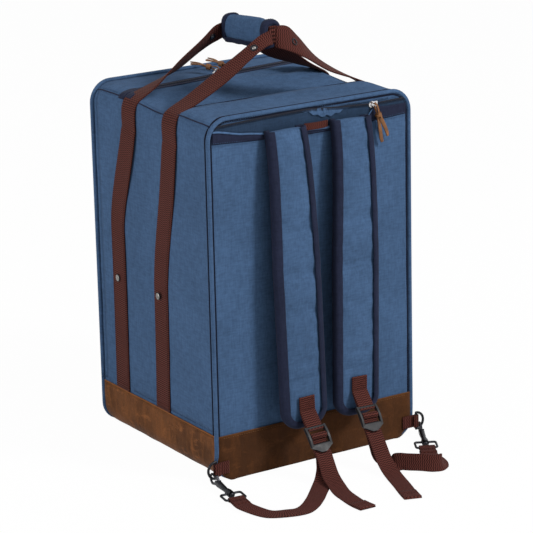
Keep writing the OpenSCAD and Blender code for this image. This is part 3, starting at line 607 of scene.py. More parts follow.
def brushed_suede(name, colour):
    """Brushed suede with a lighter nap, rubbed patches and a pale cut edge."""
    r = Recipe(name)
    place = r.place()
    _, y, z = r.split(place)
    drift = r.noise(place, 17.0, 4.0, 0.65)
    streak = r.noise(r.scaled(place, (62.0, 62.0, 20.0)), 1.0, 4.0, 0.65)
    rub = r.noise(r.scaled(place, (30.0, 44.0, 90.0)), 1.0, 4.0, 0.7)
    grain = r.noise(place, 420.0, 3.0, 0.7)
    base = r.mix(r.remap(drift, 0.36, 0.64), tint(colour, 0.48), tint(colour, 1.15))
    base = r.mix(r.remap(streak, 0.46, 0.7) * 0.75, base, tint(colour, 1.75))
    base = r.mix(r.remap(rub, 0.56, 0.72) * 0.8, base, tint(colour, 2.3))
    base = r.mix(r.remap(grain, 0.35, 0.7) * 0.5, base, tint(colour, 0.5))
    edge = r.remap(z, (SUEDE_TOP - 1.8) * MM, (SUEDE_TOP - 0.6) * MM)
    base = r.mix(edge * 0.7, base, tint(colour, 2.4))
    # darker towards the bottom, over its lowest 6 mm
    foot_dark = r.remap(z, 0.006, 0.0)
    base = r.mix(foot_dark * 0.35, base, tint(colour, 0.4))
    # the back face is painted darker: painted shade from the pads and straps, and the nap brushed the other
    # way
    base = r.mix(r.remap(y, (BACK + 6) * MM, (BACK - 1) * MM) * 0.68, base, tint(colour, 0.22))
    bump = r.bump(grain, 0.0005, 0.8)
    bump = r.bump(streak, 0.0015, 0.35, bump)
    return r.finish({"Base Color": base, "Roughness": r.remap(streak, 0.3, 0.7, 0.82, 0.97), "Normal": bump,
                     "Sheen Weight": 0.1, "Sheen Roughness": 0.4, "Specular IOR Level": 0.1})


def oiled_leather(name, colour):
    """Soft oiled lace with a grain and darker cut edges."""
    r = Recipe(name)
    place = r.place()
    _, _, share = r.cloth()
    pores = r.cells(place, 1100.0)
    drift = r.noise(place, 110.0, 3.0, 0.6)
    base = r.mix(r.remap(drift, 0.3, 0.7), tint(colour, 0.6), tint(colour, 1.3))
    base = r.mix(r.remap(pores, 0.0, 0.5, 0.5, 0.0), base, tint(colour, 0.5))
    base = r.mix(r.remap(share.absolute(), 0.8, 1.0) * 0.5, base, tint(colour, 0.45))
    bump = r.bump(pores, 0.0004, 0.6)
    bump = r.bump(drift, 0.001, 0.4, bump)
    return r.finish({"Base Color": base, "Roughness": r.remap(drift, 0.3, 0.7, 0.5, 0.72), "Normal": bump,
                     "Specular IOR Level": 0.4})


def moulded(name, colour, rough, grain=0.00006):
    """Moulded plastic with a fine texture and rubbed high spots."""
    r = Recipe(name)
    place = r.place()
    fine = r.noise(place, 1500.0, 2.0)
    wear = r.noise(place, 160.0, 3.0, 0.6)
    base = r.mix(r.remap(wear, 0.45, 0.75) * 0.5, tint(colour), tint(colour, 1.7))
    return r.finish({"Base Color": base, "Roughness": r.remap(wear, 0.3, 0.7, rough - 0.08, rough + 0.14),
                     "Normal": r.bump(fine, grain, 0.7), "Specular IOR Level": 0.22})


def plated(name, colour, rough, dark):
    """Plated metal, dulled in places to a share of its colour."""
    r = Recipe(name)
    place = r.place()
    dull = r.noise(place, 240.0, 4.0, 0.65)
    fine = r.noise(r.scaled(place, (900.0, 900.0, 2600.0)), 1.0, 2.0)
    base = r.mix(r.remap(dull, 0.45, 0.75), tint(colour), tint(colour, dark))
    return r.finish({"Base Color": base, "Metallic": 1.0,
                     "Roughness": r.remap(dull, 0.3, 0.75, rough - 0.06, rough + 0.25),
                     "Normal": r.bump(fine, 0.00003, 0.6)})


def coil_plastic(name, colour):
    """Zip coil: fine turns across the run."""
    r = Recipe(name)
    _, along, _ = r.cloth()
    turn = (along * (2 * math.pi / (COIL_PITCH * MM))).sine() * 0.5 + 0.5
    dust = r.noise(r.place(), 400.0, 2.0)
    base = r.mix(turn * 0.5, tint(colour, 0.6), tint(colour, 2.2))
    return r.finish({"Base Color": base, "Roughness": r.remap(dust, 0.3, 0.7, 0.35, 0.6),
                     "Normal": r.bump(turn, 0.0004, 0.9), "Specular IOR Level": 0.1})


def thread(name, colour):
    """Sewing thread."""
    r = Recipe(name)
    twist = r.noise(r.place(), 2200.0, 1.0)
    base = r.mix(r.remap(twist, 0.35, 0.65), tint(colour, 0.75), tint(colour, 1.25))
    return r.finish({"Base Color": base, "Roughness": 0.7, "Normal": r.bump(twist, 0.0001, 0.6),
                     "Specular IOR Level": 0.05})


def make_finishes():
    """All finishes of the bag's pieces, made once."""
    c = bpy.context.scene.carry_bag_colours
    FINISHES.update({
        "denim": woven("denim", c.denim),
        # the pocket's rolled edge: denim painted lighter, a painted highlight along its top
        "lip": woven("lip_painted_highlight", [v * 1.25 for v in c.denim]),
        "navy": woven("navy", c.navy, pale=0.10, strand=0.7, rough=0.72),
        "lining": woven("lining", [v * 0.75 for v in c.navy], pale=0.08, strand=1.1, rough=0.6),
        "webbing": webbing("webbing", c.webbing),
        "suede": brushed_suede("suede", c.suede),
        "lace": oiled_leather("lace", c.lace),
        "black_metal": plated("black_metal", (0.02, 0.02, 0.023), 0.34, 2.4),
        "black_plastic": moulded("black_plastic", (0.012, 0.012, 0.014), 0.42),
        "zip_coil": coil_plastic("zip_coil", (0.018, 0.02, 0.03)),
        "nickel": plated("nickel", (0.78, 0.78, 0.79), 0.2, 0.55),
        "old_silver": plated("old_silver", (0.26, 0.25, 0.24), 0.3, 0.35),
        "board": moulded("board", (0.02, 0.02, 0.022), 0.6, 0.0002),
        "blue_thread": thread("blue_thread", [v * 0.8 for v in c.denim]),
        "brown_thread": thread("brown_thread", (0.16, 0.075, 0.03)),
        "maroon_thread": thread("maroon_thread", [v * 0.6 for v in c.webbing]),
        "navy_thread": thread("navy_thread", c.navy),
        # dark cords standing for shade: painted shade beside the piping and along the rear strip's crest
        "painted_shade_line": thread("painted_shade_line", [v * 0.5 for v in c.navy]),
        # denim painted dark: painted shade for the inside of the open pocket
        "shade": woven("shade", [v * 0.42 for v in c.denim]),
    })


# ---------- sizes and colours ----------

class CarryBagSizes(bpy.types.PropertyGroup):
    """How the soft parts sit."""

    top_sag: bpy.props.FloatProperty(
        name="Top Sag", description="How far the top dips in front of its rear strip",
        default=0.022, min=0.0, max=0.024, unit="LENGTH", subtype="DISTANCE")
    side_hollow: bpy.props.FloatProperty(
        name="Side Hollow", description="How far the soft side walls sink in",
        default=0.0035, min=0.0, max=0.008, unit="LENGTH", subtype="DISTANCE")
    wall: bpy.props.FloatProperty(
        name="Wall", description="Thickness of the padded walls",
        default=0.0085, min=0.005, max=0.0095, unit="LENGTH", subtype="DISTANCE")
    puff: bpy.props.FloatProperty(
        name="Pad Puff", description="Cloth pressure in the shoulder pads and the grip",
        default=4.0, min=0.0, max=8.0)
    puff_cap: bpy.props.FloatProperty(
        name="Puff Limit", description="How far a point of a pad may swell",
        default=0.005, min=0.0, max=0.01, unit="LENGTH", subtype="DISTANCE")
    stitch: bpy.props.FloatProperty(
        name="Stitch Pitch", description="Distance from one stitch to the next",
        default=0.0036, min=0.002, max=0.008, unit="LENGTH", subtype="DISTANCE")


def colour_property(label, use, value):
    """A colour that the panel shows."""
    return bpy.props.FloatVectorProperty(name=label, description=use, default=value, size=3,
                                         min=0.0, max=1.0, subtype="COLOR")


class CarryBagColours(bpy.types.PropertyGroup):
    """Colours of the cloth and leather."""

    denim: colour_property("Blue Cloth", "Walls, pads and grip", (0.053, 0.101, 0.192))
    navy: colour_property("Navy Binding", "Bindings and zip tapes", (0.017, 0.021, 0.044))
    webbing: colour_property("Brown Webbing", "Handle and shoulder webbing", (0.055, 0.0160, 0.0125))
    suede: colour_property("Suede", "Band round the base", (0.135, 0.050, 0.0165))
    lace: colour_property("Lace", "Leather pulls", (0.175, 0.070, 0.020))


class CarryBagStage(bpy.types.PropertyGroup):
    """Floor, light and camera."""

    floor: colour_property("Floor", "Colour of the floor", (0.93, 0.93, 0.93))
    veil: bpy.props.FloatProperty(name="Veil", description="How far the seen floor is lifted to white",
                                  default=0.975, min=0.0, max=1.0, subtype="FACTOR")
    key: bpy.props.FloatProperty(name="Key Light", description="Power of the large soft lamp",
                                 default=90.0, min=0.0, unit="POWER")
    fill: bpy.props.FloatProperty(name="Fill Light", description="Power of the lamp on the other side",
                                  default=52.0, min=0.0, unit="POWER")
    top: bpy.props.FloatProperty(name="Top Light", description="Power of the lamp above the back",
                                 default=14.0, min=0.0, unit="POWER")
    sky: bpy.props.FloatProperty(name="Sky", description="Strength of the even light all round",
                                 default=0.26, min=0.0, max=2.0)
    lens: bpy.props.FloatProperty(name="Lens", description="Focal length of the camera",
                                  default=175.34, min=20.0, max=400.0, unit="CAMERA")


# ---------- walls ----------

ROW = 7.0
COLUMNS = spread(-1, 1, 46)


def wall_rows(low, high):
    """Heights of the wall's rows, closer together in the corners."""
    marks = [BASE_R * (1 - math.cos(math.radians(a))) for a in range(0, 91, 10)]
    stops = [BASE_R, SUEDE_TOP, BASE_HIGH, DOOR_LOW, TOP - TOP_R]
    for a, b in zip(stops, stops[1:]):
        marks += spread(a, b, max(1, round((b - a) / ROW)))[1:]
    marks += [TOP - TOP_R + TOP_R * math.sin(math.radians(a)) for a in range(9, 91, 9)]
    marks.append(SEAM_Z)
    out = []
    for m in sorted(m for m in marks if low - 1e-6 <= m <= high + 1e-6):
        if not out or m - out[-1] > 0.4:
            out.append(m)
    return out


def face_patch(y, low, high):
    """Points of the flat front or back between two heights."""
    return [[(half_width(z) * u, y, z) for u in COLUMNS] for z in wall_rows(low, high)]


def over_top(left_low, right_low):
    """Outline points up the left side, over the top and down the right side."""
    points = [(-half_width(z), z) for z in wall_rows(left_low, TOP)]
    points += [(half_width(TOP) * u, TOP) for u in COLUMNS[1:-1]]
    return points + [(half_width(z), z) for z in wall_rows(right_low, TOP)[::-1]]


def under_bottom(left_high, right_high):
    """Outline points down the left side, under the bottom and up the right side."""
    points = [(-half_width(z), z) for z in wall_rows(0, left_high)[::-1]]
    points += [(half_width(0) * u, 0.0) for u in COLUMNS[1:-1]]
    return points + [(half_width(z), z) for z in wall_rows(0, right_high)]


def tube_patch(loop, near, far, steps):
    """Rows of the walls between two depths, each a number or a function of x."""
    rows = []
    for x, z in loop:
        a = near(x) if callable(near) else near
        b = far(x) if callable(far) else far
        rows.append([(x, y, z) for y in spread(a, b, steps)])
    return rows


def cloth_shell(name, patches):
    """Welds patches into one padded skin that sags, with a lining inside."""
    verts, faces = [], []
    for rows in patches:
        patch(verts, faces, rows)
    obj = add_object(name, verts, faces, "denim")

    def sag(p, normal):
        p = settle(p)
        return p + normal * (ripple(p, 0.55, 42.0) + ripple(p, 0.3, 17.0))

    shape_outwards(obj, (0, 0, 0.25), sag)
    obj.data.materials.append(FINISHES["lining"])
    wall = obj.modifiers.new("wall", "SOLIDIFY")
    wall.thickness = bpy.context.scene.carry_bag_sizes.wall
    wall.offset = -1
    wall.use_even_offset = True
    wall.use_quality_normals = True
    wall.material_offset = 1
    wall.material_offset_rim = 0
    bake_modifiers(obj)
    obj.data.shade_smooth()
    return obj


def near_zip(x):
    """The walls' edge behind the zip."""
    return zip_y(x) - ZIP_GAP


def past_zip(x):
    """The door's edge in front of the zip."""
    return zip_y(x) + ZIP_GAP


def build_body():
    """Everything behind the zip, and the front's foot, as one padded shell."""
    foot = under_bottom(BASE_HIGH, BASE_HIGH)
    body = cloth_shell("body_walls", [
        face_patch(BACK, 0, TOP),
        tube_patch(over_top(DOOR_LOW - 1, DOOR_LOW - 1), BACK, near_zip, 34),
        tube_patch(foot, BACK, near_zip, 34),
        tube_patch(under_bottom(SEAM_Z, BASE_HIGH), near_zip, LEFT_END, 10),
        tube_patch(foot, LEFT_END, FRONT, 2),
        face_patch(FRONT, 0, BASE_HIGH),
    ])
    settle_piece(body, "bag", "denim", "back_panel", "pocket_panel", "left_panel", "right_panel",
                 "top_rear_panel", "bottom_panel", "front_base_panel")


def build_door():
    """The front, with its strips on the top and on both sides."""
    left = [(-half_width(z), z) for z in wall_rows(DOOR_LOW, SEAM_Z)]
    door = cloth_shell("door_walls", [
        face_patch(FRONT, DOOR_LOW, TOP),
        tube_patch(over_top(SEAM_Z, DOOR_LOW), past_zip, FRONT, 12),
        tube_patch(left, LEFT_END + ZIP_GAP, FRONT, 2),
    ])
    settle_piece(door, "door", "denim", "front_panel", "door_top_strip", "door_side_strip")


# ---------- piping and seams ----------

CORNER = [math.radians(a) for a in range(9, 90, 9)]
SEAM_R = TOP_R - 0.1
SEAM_LEAN = math.radians(43)


def outline_path(grow, low=BASE_R, bottom=True):
    """The bag's outline grown outwards, as points from the left's foot over the top to the right's foot,
    and on along the bottom if it is whole."""
    high, edge, r = TOP - TOP_R, HALF - TOP_R, TOP_R + grow
    points = [(-HALF - grow, z) for z in spread(low, high, 54)]
    points += [(-edge - r * math.cos(t), high + r * math.sin(t)) for t in CORNER]
    points += [(x, TOP + grow) for x in spread(-edge, edge, 34)]
    points += [(edge + r * math.cos(t), high + r * math.sin(t)) for t in CORNER[::-1]]
    points += [(HALF + grow, z) for z in spread(high, low, 54)]
    if bottom:
        r = BASE_R - PIPE_R
        edge = HALF + grow - r
        points += [(edge + r * math.cos(t), BASE_R - r * math.sin(t)) for t in CORNER]
        points += [(x, PIPE_R) for x in spread(edge, -edge, 34)]
        points += [(-edge - r * math.cos(t), BASE_R - r * math.sin(t)) for t in CORNER[::-1]]
    return points


def base_run():
    """The front piping's part below the door, from the right end down and round to the left end."""
    low = [p for p in outline_path(PIPE_OUT) if p[1] < DOOR_LOW - 0.5]
    right = [p for p in low if p[0] > 0 and p[1] > PIPE_R + 1]
    flat = [p for p in low if p[1] < PIPE_R + 0.01]
    left = sorted((p for p in low if p[0] < 0 and p[1] > PIPE_R + 0.01), key=lambda p: p[1])
    return [(HALF + PIPE_OUT, BASE_HIGH)] + right + flat + left + [(-HALF - PIPE_OUT, BASE_HIGH)]


def build_piping():
    """Piping round the back and the front, dark cords that paint the shade beside it, and the seams of the
    top.
    """
    ring = []
    for x, z in outline_path(PIPE_OUT):
        # the cord goes under the suede along the bottom
        tuck = (3.4 - 2.2 * ease(HALF - 50, HALF - 20, x)) * ease(1.6 * BASE_R, 0.4 * BASE_R, z)
        ring.append(settle((x, BACK + tuck, z)))
    arch = [settle((x, FRONT, z)) for x, z in outline_path(PIPE_OUT, DOOR_LOW, False)]
    foot = [settle((x, FRONT, z)) for x, z in base_run()]
    for name, path, closed, body, node in (("back_piping_cord", ring, True, "bag", "back_piping"),
                                           ("door_piping_cord", arch, False, "door", "front_piping"),
                                           ("base_piping_cord", foot, False, "bag", "front_piping_base")):
        settle_piece(cord_piece(name, path, PIPE_R, "denim", (0, 1, 0), 14, closed), body, "denim", node)
    # dark cords that paint the shade in the gaps beside the piping cords: growth of the outline, depth, and
    # rise along the top
    for name, body, y, grow, off, rise, low, whole in (
            ("back_piping_shade_line_0", "bag", BACK, -2.9, 0.5, 0, BASE_R, True),
            ("back_piping_shade_line_1", "bag", BACK, 0.2, 8.8, 1.6, BASE_R, True),
            ("door_piping_shade_line_0", "door", FRONT, -2.9, -0.5, 0, DOOR_LOW, False)):
        path = [settle((x, y, z)) + Vector((0, off, rise * ease(TOP - 8, TOP, z)))
                for x, z in outline_path(grow, low, whole)]
        settle_piece(cord_piece(name, path, 1.5, "painted_shade_line", (0, 1, 0), 8, whole), body, "navy")
    edge = [settle((x, BACK - 0.2, z)) for x, z in outline_path(-3.9, 70, False)]
    stitches("back_edge_stitches", [(edge, (0, -1, 0))], "blue_thread", "bag", "denim", seam_pitch())
    # the seam along the rear strip's front edge, drawn as a dark cord whose colour also paints the shade at
    # the crest's edge
    strip = [settle((x, strip_edge(x) + 1, TOP)) + Vector((0, 0, 0.1))
             for x in spread(22 - HALF, HALF - 22, 80)]
    settle_piece(cord_piece("rear_strip_seam_shade", strip, 1.7, "painted_shade_line", sides=8), "bag", "navy")
    # seams where the top turns into the side walls
    for body, i, side, run in (("bag", 0, -1, spread(BACK + 5, zip_y(8 - HALF) - 1, 40)),
                               ("bag", 1, 1, spread(BACK + 5, zip_y(HALF - 8) - 14, 40)),
                               ("door", 0, -1, spread(past_zip(-HALF) + 2, FRONT - 4, 14))):
        x = side * (HALF - TOP_R + SEAM_R * math.cos(SEAM_LEAN))
        z = TOP - TOP_R + SEAM_R * math.sin(SEAM_LEAN)
        path = [settle((x, y, z)) for y in run]
        settle_piece(cord_piece(f"{body}_top_seam_{i}", path, 1.0, "navy", sides=8), body, "navy")
        beside = [p + Vector((side * -3.2, 0, 2.6)) for p in path]
        stitches(f"{body}_top_stitches_{i}", [(beside, (side * 0.66, 0, 0.75))], "blue_thread", body, "denim",
                 seam_pitch())


# ---------- suede base ----------

SUEDE_FOOT = 0.7
SUEDE_T = 1.6


def build_suede():
    """The suede band over the foot of the walls, with its row of stitches."""
    corner = [BASE_R * (1 - math.cos(math.radians(a))) for a in range(6, 90, 7)]
    rows = [SUEDE_FOOT] + [z for z in corner if SUEDE_FOOT + 0.4 < z < BASE_R - 1]
    rows += [z for z in wall_rows(SUEDE_FOOT, SUEDE_TOP) if z > BASE_R]
    verts, faces = [], []
    for y in (BACK, FRONT):
        patch(verts, faces, [[(half_width(z) * u, y, z) for u in COLUMNS] for z in rows])
    for side in (-1, 1):
        patch(verts, faces, [[(side * half_width(z), y, z) for y in spread(BACK, FRONT, 44)] for z in rows])
    obj = add_object("suede_base", verts, faces, "suede")

    def lie(p, normal):
        p = settle(p)
        p += normal * (0.5 + ripple(p, 0.7, 30.0))
        p.z = max(p.z, SUEDE_FOOT)
        return p

    shape_outwards(obj, (0, 0, 0.03), lie)
    skin = obj.modifiers.new("skin", "SOLIDIFY")
    skin.thickness = SUEDE_T * MM
    skin.offset = 1
    bake_modifiers(obj)
    obj.data.shade_smooth()
    settle_piece(obj, "bag", "suede", "suede_band")
    z, out = SUEDE_TOP - 3.2, SUEDE_T + 0.5
    w = half_width(z)
    rows = [([settle((x, y, z)) for x in spread(8 - w, w - 8, 40)], (0, n, 0))
            for y, n in ((BACK - out, -1), (FRONT + out, 1))]
    rows += [([settle((side * (w + out), y, z)) for y in spread(BACK + 8, FRONT - 8, 40)], (side, 0, 0))
             for side in (-1, 1)]
    stitches("suede_stitches", rows, "brown_thread", "bag", "suede", seam_pitch(), sink=-0.1)


# ---------- zips ----------

TAPE_IN = 0.7
TAPE_OUT = 11.0
TAPE_T = 0.8
TAPE_RISE = 0.5
TAPE_SEW = 9.2
COIL_OFF = 1.6


def zip_path(off):
    """Points along the zip's line and their outward directions, off to one side of its middle."""
    low = TOP - TOP_R
    points = [(x, zip_y(x) + off, TOP) for x in spread(TOP_R + 2 - HALF, HALF - TOP_R, 60)]
    outs = [UP] * len(points)
    for a in range(81, -1, -9):
        c, s = math.cos(math.radians(a)), math.sin(math.radians(a))
        x = HALF - TOP_R + TOP_R * c
        points.append((x, zip_y(x) + off, low + TOP_R * s))
        outs.append(Vector((c, 0, s)))
    foot = [(HALF, zip_y(HALF) + off, z) for z in spread(low, DOOR_LOW, 70)[1:]]
    return points + foot, outs + [Vector((1, 0, 0))] * len(foot)


def laid(points, outs, rise):
    """Points laid on the soft bag and raised along their outward directions."""
    return [settle(p) + n * rise for p, n in zip(points, outs)]


def zip_teeth(name, side):
    """Turns of a zip's coil, each a small bent rod across the run."""
    points, outs = zip_path(side * COIL_OFF)
    path = laid(points, outs, 1.1)
    verts, faces = [], []
    for p, d in spaced(path, COIL_PITCH):
        near = min(range(len(path)), key=lambda i: (path[i] - p).length_squared)
        n = outs[near]
        wide = d.cross(n).normalized()
        rings = []
        for a in spread(0, math.pi, 5):
            middle = p + wide * (-1.25 * math.cos(a)) + n * (0.55 * math.sin(a))
            out = n * math.sin(a) - wide * math.cos(a)
            rings.append([middle + (d * math.cos(b) * 0.42 + out * math.sin(b) * 0.32)
                          for b in turn_angles(5)])
        sweep(verts, faces, rings)
    return add_object(name, verts, faces, "zip_coil")


def build_zips():
    """Both sides of the main zip, the zip along the door's foot, and the cloth at the zip's end."""
    for side, body, name in ((-1, "bag", "body"), (1, "door", "door")):
        points, outs = zip_path(side * (TAPE_IN + TAPE_OUT) / 2)
        across = [Vector((-0.1 * n.z, 1, 0)).normalized() for n in outs]
        path = laid(points, outs, TAPE_RISE)
        tape = strap_piece(f"zip_tape_{name}_cloth", path, across, TAPE_OUT - TAPE_IN, TAPE_T, "navy")
        settle_piece(tape, body, "navy", f"zip_tape_{name}")
        settle_piece(zip_teeth(f"zip_coil_{name}_turns", side), body, "zip_coil", f"zip_coil_{name}")
        points, outs = zip_path(side * TAPE_SEW)
        stitches(f"zip_tape_{name}_stitches", [(laid(points, outs, 0.95), outs)], "navy_thread", body, "navy",
                 *TAPE_SEAM)
    path = [settle((x, FRONT, DOOR_LOW + (ZIP_GAP + TAPE_OUT) / 2)) + Vector((0, TAPE_RISE, 0))
            for x in spread(10 - HALF, HALF - 10, 60)]
    tape = strap_piece("door_foot_tape", path, UP, TAPE_OUT - ZIP_GAP, TAPE_T, "navy")
    settle_piece(tape, "door", "navy")
    path = [settle((x, FRONT, DOOR_LOW + COIL_OFF)) + Vector((0, 1.4, 0))
            for x in spread(12 - HALF, HALF - 12, 60)]
    settle_piece(cord_piece("door_foot_coil", path, 0.8, "zip_coil", sides=8), "door", "zip_coil")
    # navy cloth that closes the zip's left end
    for body, side in (("bag", -1), ("door", 1)):
        rows = []
        for t in spread(0, 1, 8):
            x = TOP_R + 3 - HALF - 26 * t
            z = TOP - TOP_R + math.sqrt(max(0.0, TOP_R ** 2 - max(0.0, TOP_R - HALF - x) ** 2))
            rows.append([settle((x, zip_y(x) + side * y, z)) + Vector((-0.315, 0, 0.855))
                         for y in spread(0.4, 10.9 + 5 * t, 5)])
        settle_piece(sheet(f"{body}_zip_end", rows, "navy", 0.8, 0), body, "navy")


# ---------- back pocket ----------

# across the back, and height
POCKET_LIP = ((-164, 486.5), (-150, 486), (-110, 478), (-70, 473), (5, 468.5), (32, 467.5), (60, 467),
              (88, 470), (100, 482), (104, 486), (110, 484), (126, 482.5), (164, 483))
POCKET_SEAM = ((-164, 491.5), (-147, 492), (-75, 494.5), (-9, 495.5), (53, 491), (103, 488.5), (164, 489.5))
POCKET_FOOT = ((-164, 469.5), (-75, 465), (0, 461.5), (60, 462), (124, 466), (164, 468))


def along_points(points, x):
    """Height at x on a smooth line through points."""
    if x <= points[0][0]:
        return points[0][1]
    for (xa, za), (xb, zb) in zip(points, points[1:]):
        if x <= xb:
            return za + (zb - za) * (0.6 * (x - xa) / (xb - xa) + 0.4 * ease(xa, xb, x))
    return points[-1][1]


def loose(x):
    """1 where the pocket's cloth is slackest, between the pads."""
    return hump(10, 24, x)


def pucker(x, v):
    """How far the slack cloth stands off the back."""
    return loose(x) * (1.6 + 1.5 * math.sin(x * 0.62 + 1.2 * v) + 1.0 * math.sin(x * 1.31 - v))


def on_pocket(x, z, off):
    """A point that stands off the cloth of the back."""
    return settle((x, BACK - 0.5, z)) + Vector((0, -off, 0))


def pocket_mouth(lines):
    """The pocket's inside in denim painted dark for the shade in it, the band that hangs from the open edge,
    and the rolled edge itself in denim painted lighter for its highlight. lines holds x and the heights of
    the seam, the lip and the band's foot there."""
    rows = [[on_pocket(x, seam * (1 - v) + (lip - 3) * v, 0.35) for x, seam, lip, _ in lines]
            for v in (0, 0.5, 1)]
    settle_piece(sheet("pocket_inside_shade", rows, "shade"), "bag", "navy")
    rows = []
    for v in spread(0, 1, 8):
        belly = 1.6 * math.sin(math.pi * v)
        rows.append([on_pocket(x, lip + (foot - lip) * v, 0.5 + 1.2 * (1 - v) + belly * hump(-66, 60, x))
                     for x, _, lip, foot in lines])
    settle_piece(sheet("pocket_band", rows, "navy", 0.9), "bag", "navy", "pocket_zip_tape")
    low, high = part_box("pocket_slider")
    slider_x = (low.x + high.x) / 2 / MM
    rings = []
    for x, _, lip, _ in lines:
        if x <= slider_x:
            r = 1.15 + 0.5 * loose(x) + 0.25 * noise.noise(Vector((x / 9, 0, 7)))
            c = on_pocket(x, lip, 1.9 + r * 0.4)
            rings.append([c + Vector((0, math.cos(a) * r * 0.9, math.sin(a) * r * 1.2))
                          for a in turn_angles(10)])
    # the rolled edge in denim painted lighter, for the highlight along it
    settle_piece(swept("pocket_open_lip", rings, "lip"), "bag", "denim", "pocket_lip")


def pocket_gather():
    """Blue cloth gathered under the lip, between the pads."""
    left, right = -18, 66
    rows = []
    for v in spread(0, 1, 8):
        row = []
        for x in spread(left, right, 56):
            edge = ease(left, left + 36, x) * ease(right, right - 36, x)
            z = along_points(POCKET_SEAM, x) + 1 - (2 + 9 * edge + 1.2 * math.sin(0.45 * x)) * v
            row.append(on_pocket(x, z, 1.0 + edge * (0.6 + 0.6 * pucker(x, v)) * (0.3 + 0.7 * v)))
        rows.append(row)
    settle_piece(sheet("pocket_gather", rows, "denim", 0.8), "bag", "denim")


def pocket_zip(lines):
    """The upper tape with the turns of its coil."""
    path = [on_pocket(x, seam + 0.8, 1.1) for x, seam, _, _ in lines]
    tape = strap_piece("pocket_upper_tape", path, UP, 2.2, 0.9, "zip_coil")
    settle_piece(tape, "bag", "navy")
    verts, faces = [], []
    wire = 0.35
    for p, _ in spaced([on_pocket(x, seam - 1.2, 1.2) for x, seam, _, _ in lines], 1.6):
        rings = []
        for k in (-1, -0.4, 0.4, 1):
            middle = p + Vector((0, -0.55 * (1 - k * k), 1.4 * k))
            rings.append([middle + Vector((math.cos(a), math.sin(a), 0)) * wire for a in turn_angles(5)])
        sweep(verts, faces, rings)
    settle_piece(add_object("pocket_coil_turns", verts, faces, "zip_coil"), "bag", "zip_coil")


def build_pocket():
    """The back pocket's open edge with its zip and stitches, and the haul loop."""
    lines = [(x, *(along_points(line, x) for line in (POCKET_SEAM, POCKET_LIP, POCKET_FOOT)))
             for x in spread(4.5 - HALF, HALF - 4.5, 150)]
    pocket_mouth(lines)
    pocket_gather()
    pocket_zip(lines)
    rows = [([on_pocket(line[0], line[which] + step, 0.9) for line in lines], (0, -1, 0))
            for which, step in ((3, -1.8), (3, 1.8), (1, 4.4))]
    stitches("pocket_stitches", rows, "blue_thread", "bag", "denim", seam_pitch())
    low, high = (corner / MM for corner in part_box("haul_loop"))
    middle = (low.z + high.z) / 2
    path = [Vector((low.x + (high.x - low.x) * t, BACK - 3.2 - 1.8 * math.sin(math.pi * t), middle))
            for t in spread(0, 1, 24)]
    loop = strap_piece("haul_loop_strap", path, UP, high.z - low.z, 1.6, "webbing")
    settle_piece(loop, "bag", "webbing", "haul_loop")


# ---------- carry handle ----------

GRIP_Y = -11.0
GRIP_Z = 581.0
GRIP_L = 110.0
GRIP_TILT = math.radians(3.0)
GRIP_W = 31.0
GRIP_H = 40.0
GRIP_AROUND = 56
PUFF_FRAMES = 18
REAR_FLARE = 0.10
FRONT_FLARE = 0.05
HANDLE_W = 38.0
LEG_OFF = 1.35
LEG_SLACK = 1.6
LEG_SLACK_Z = 420.0
TACK_OFF = 2.5
TACKS = (SUEDE_TOP + 4, SUEDE_TOP + 9, 437, 441)
REAR_LEG = (-14.0, -56.0, 230.0)
FRONT_LEGS = {-1: (97.0, 52.0, 300.0), 1: (80.0, 52.0, 300.0)}
# direction of a leg's width from the top's corner to the grip, for each side and end of the bag
FRONT_TURN = [(0, 0.97, -0.2), (0, 0.75, -0.66), (0, 0.60, -0.70), (0, 0.36, -0.74), (0, 0.2, -0.6)]
LEG_TURNS = {
    (-1, -1): [(0, 1, 0.05), (0, 0.86, 0.2), (0, 0.58, 0.26), (0, 0.42, 0.36), (0, 0.1, 0.55)],
    (1, -1): [(0, 1, 0.1), (0, 0.92, 0.4), (0, 0.66, 0.75), (0, 0.3, 0.9), (0, 0.1, 0.8)],
    (-1, 1): FRONT_TURN,
    (1, 1): FRONT_TURN,
}


def leg_y(side, out, z):
    """Middle of a handle leg's webbing on the bag's side, at a height. out is -1 for the rear leg."""
    foot, top, bend = FRONT_LEGS[side] if out > 0 else REAR_LEG
    return foot + (top - foot) * ease(bend, TOP - TOP_R, z)


def grip_point(x, up, along):
    """A point of the grip from its middle: across, up, and along towards its rear end."""
    s, c = math.sin(GRIP_TILT), math.cos(GRIP_TILT)
    return Vector((x, GRIP_Y - along * c + up * s, GRIP_Z + along * s + up * c))


def leg_point(side, out, z, off, across=0.0):
    """A point of a leg on the bag's side: off from the cloth, and across from the webbing's middle."""
    return settle((side * HALF, leg_y(side, out, z) + across, z)) + Vector((side * off, 0, 0))


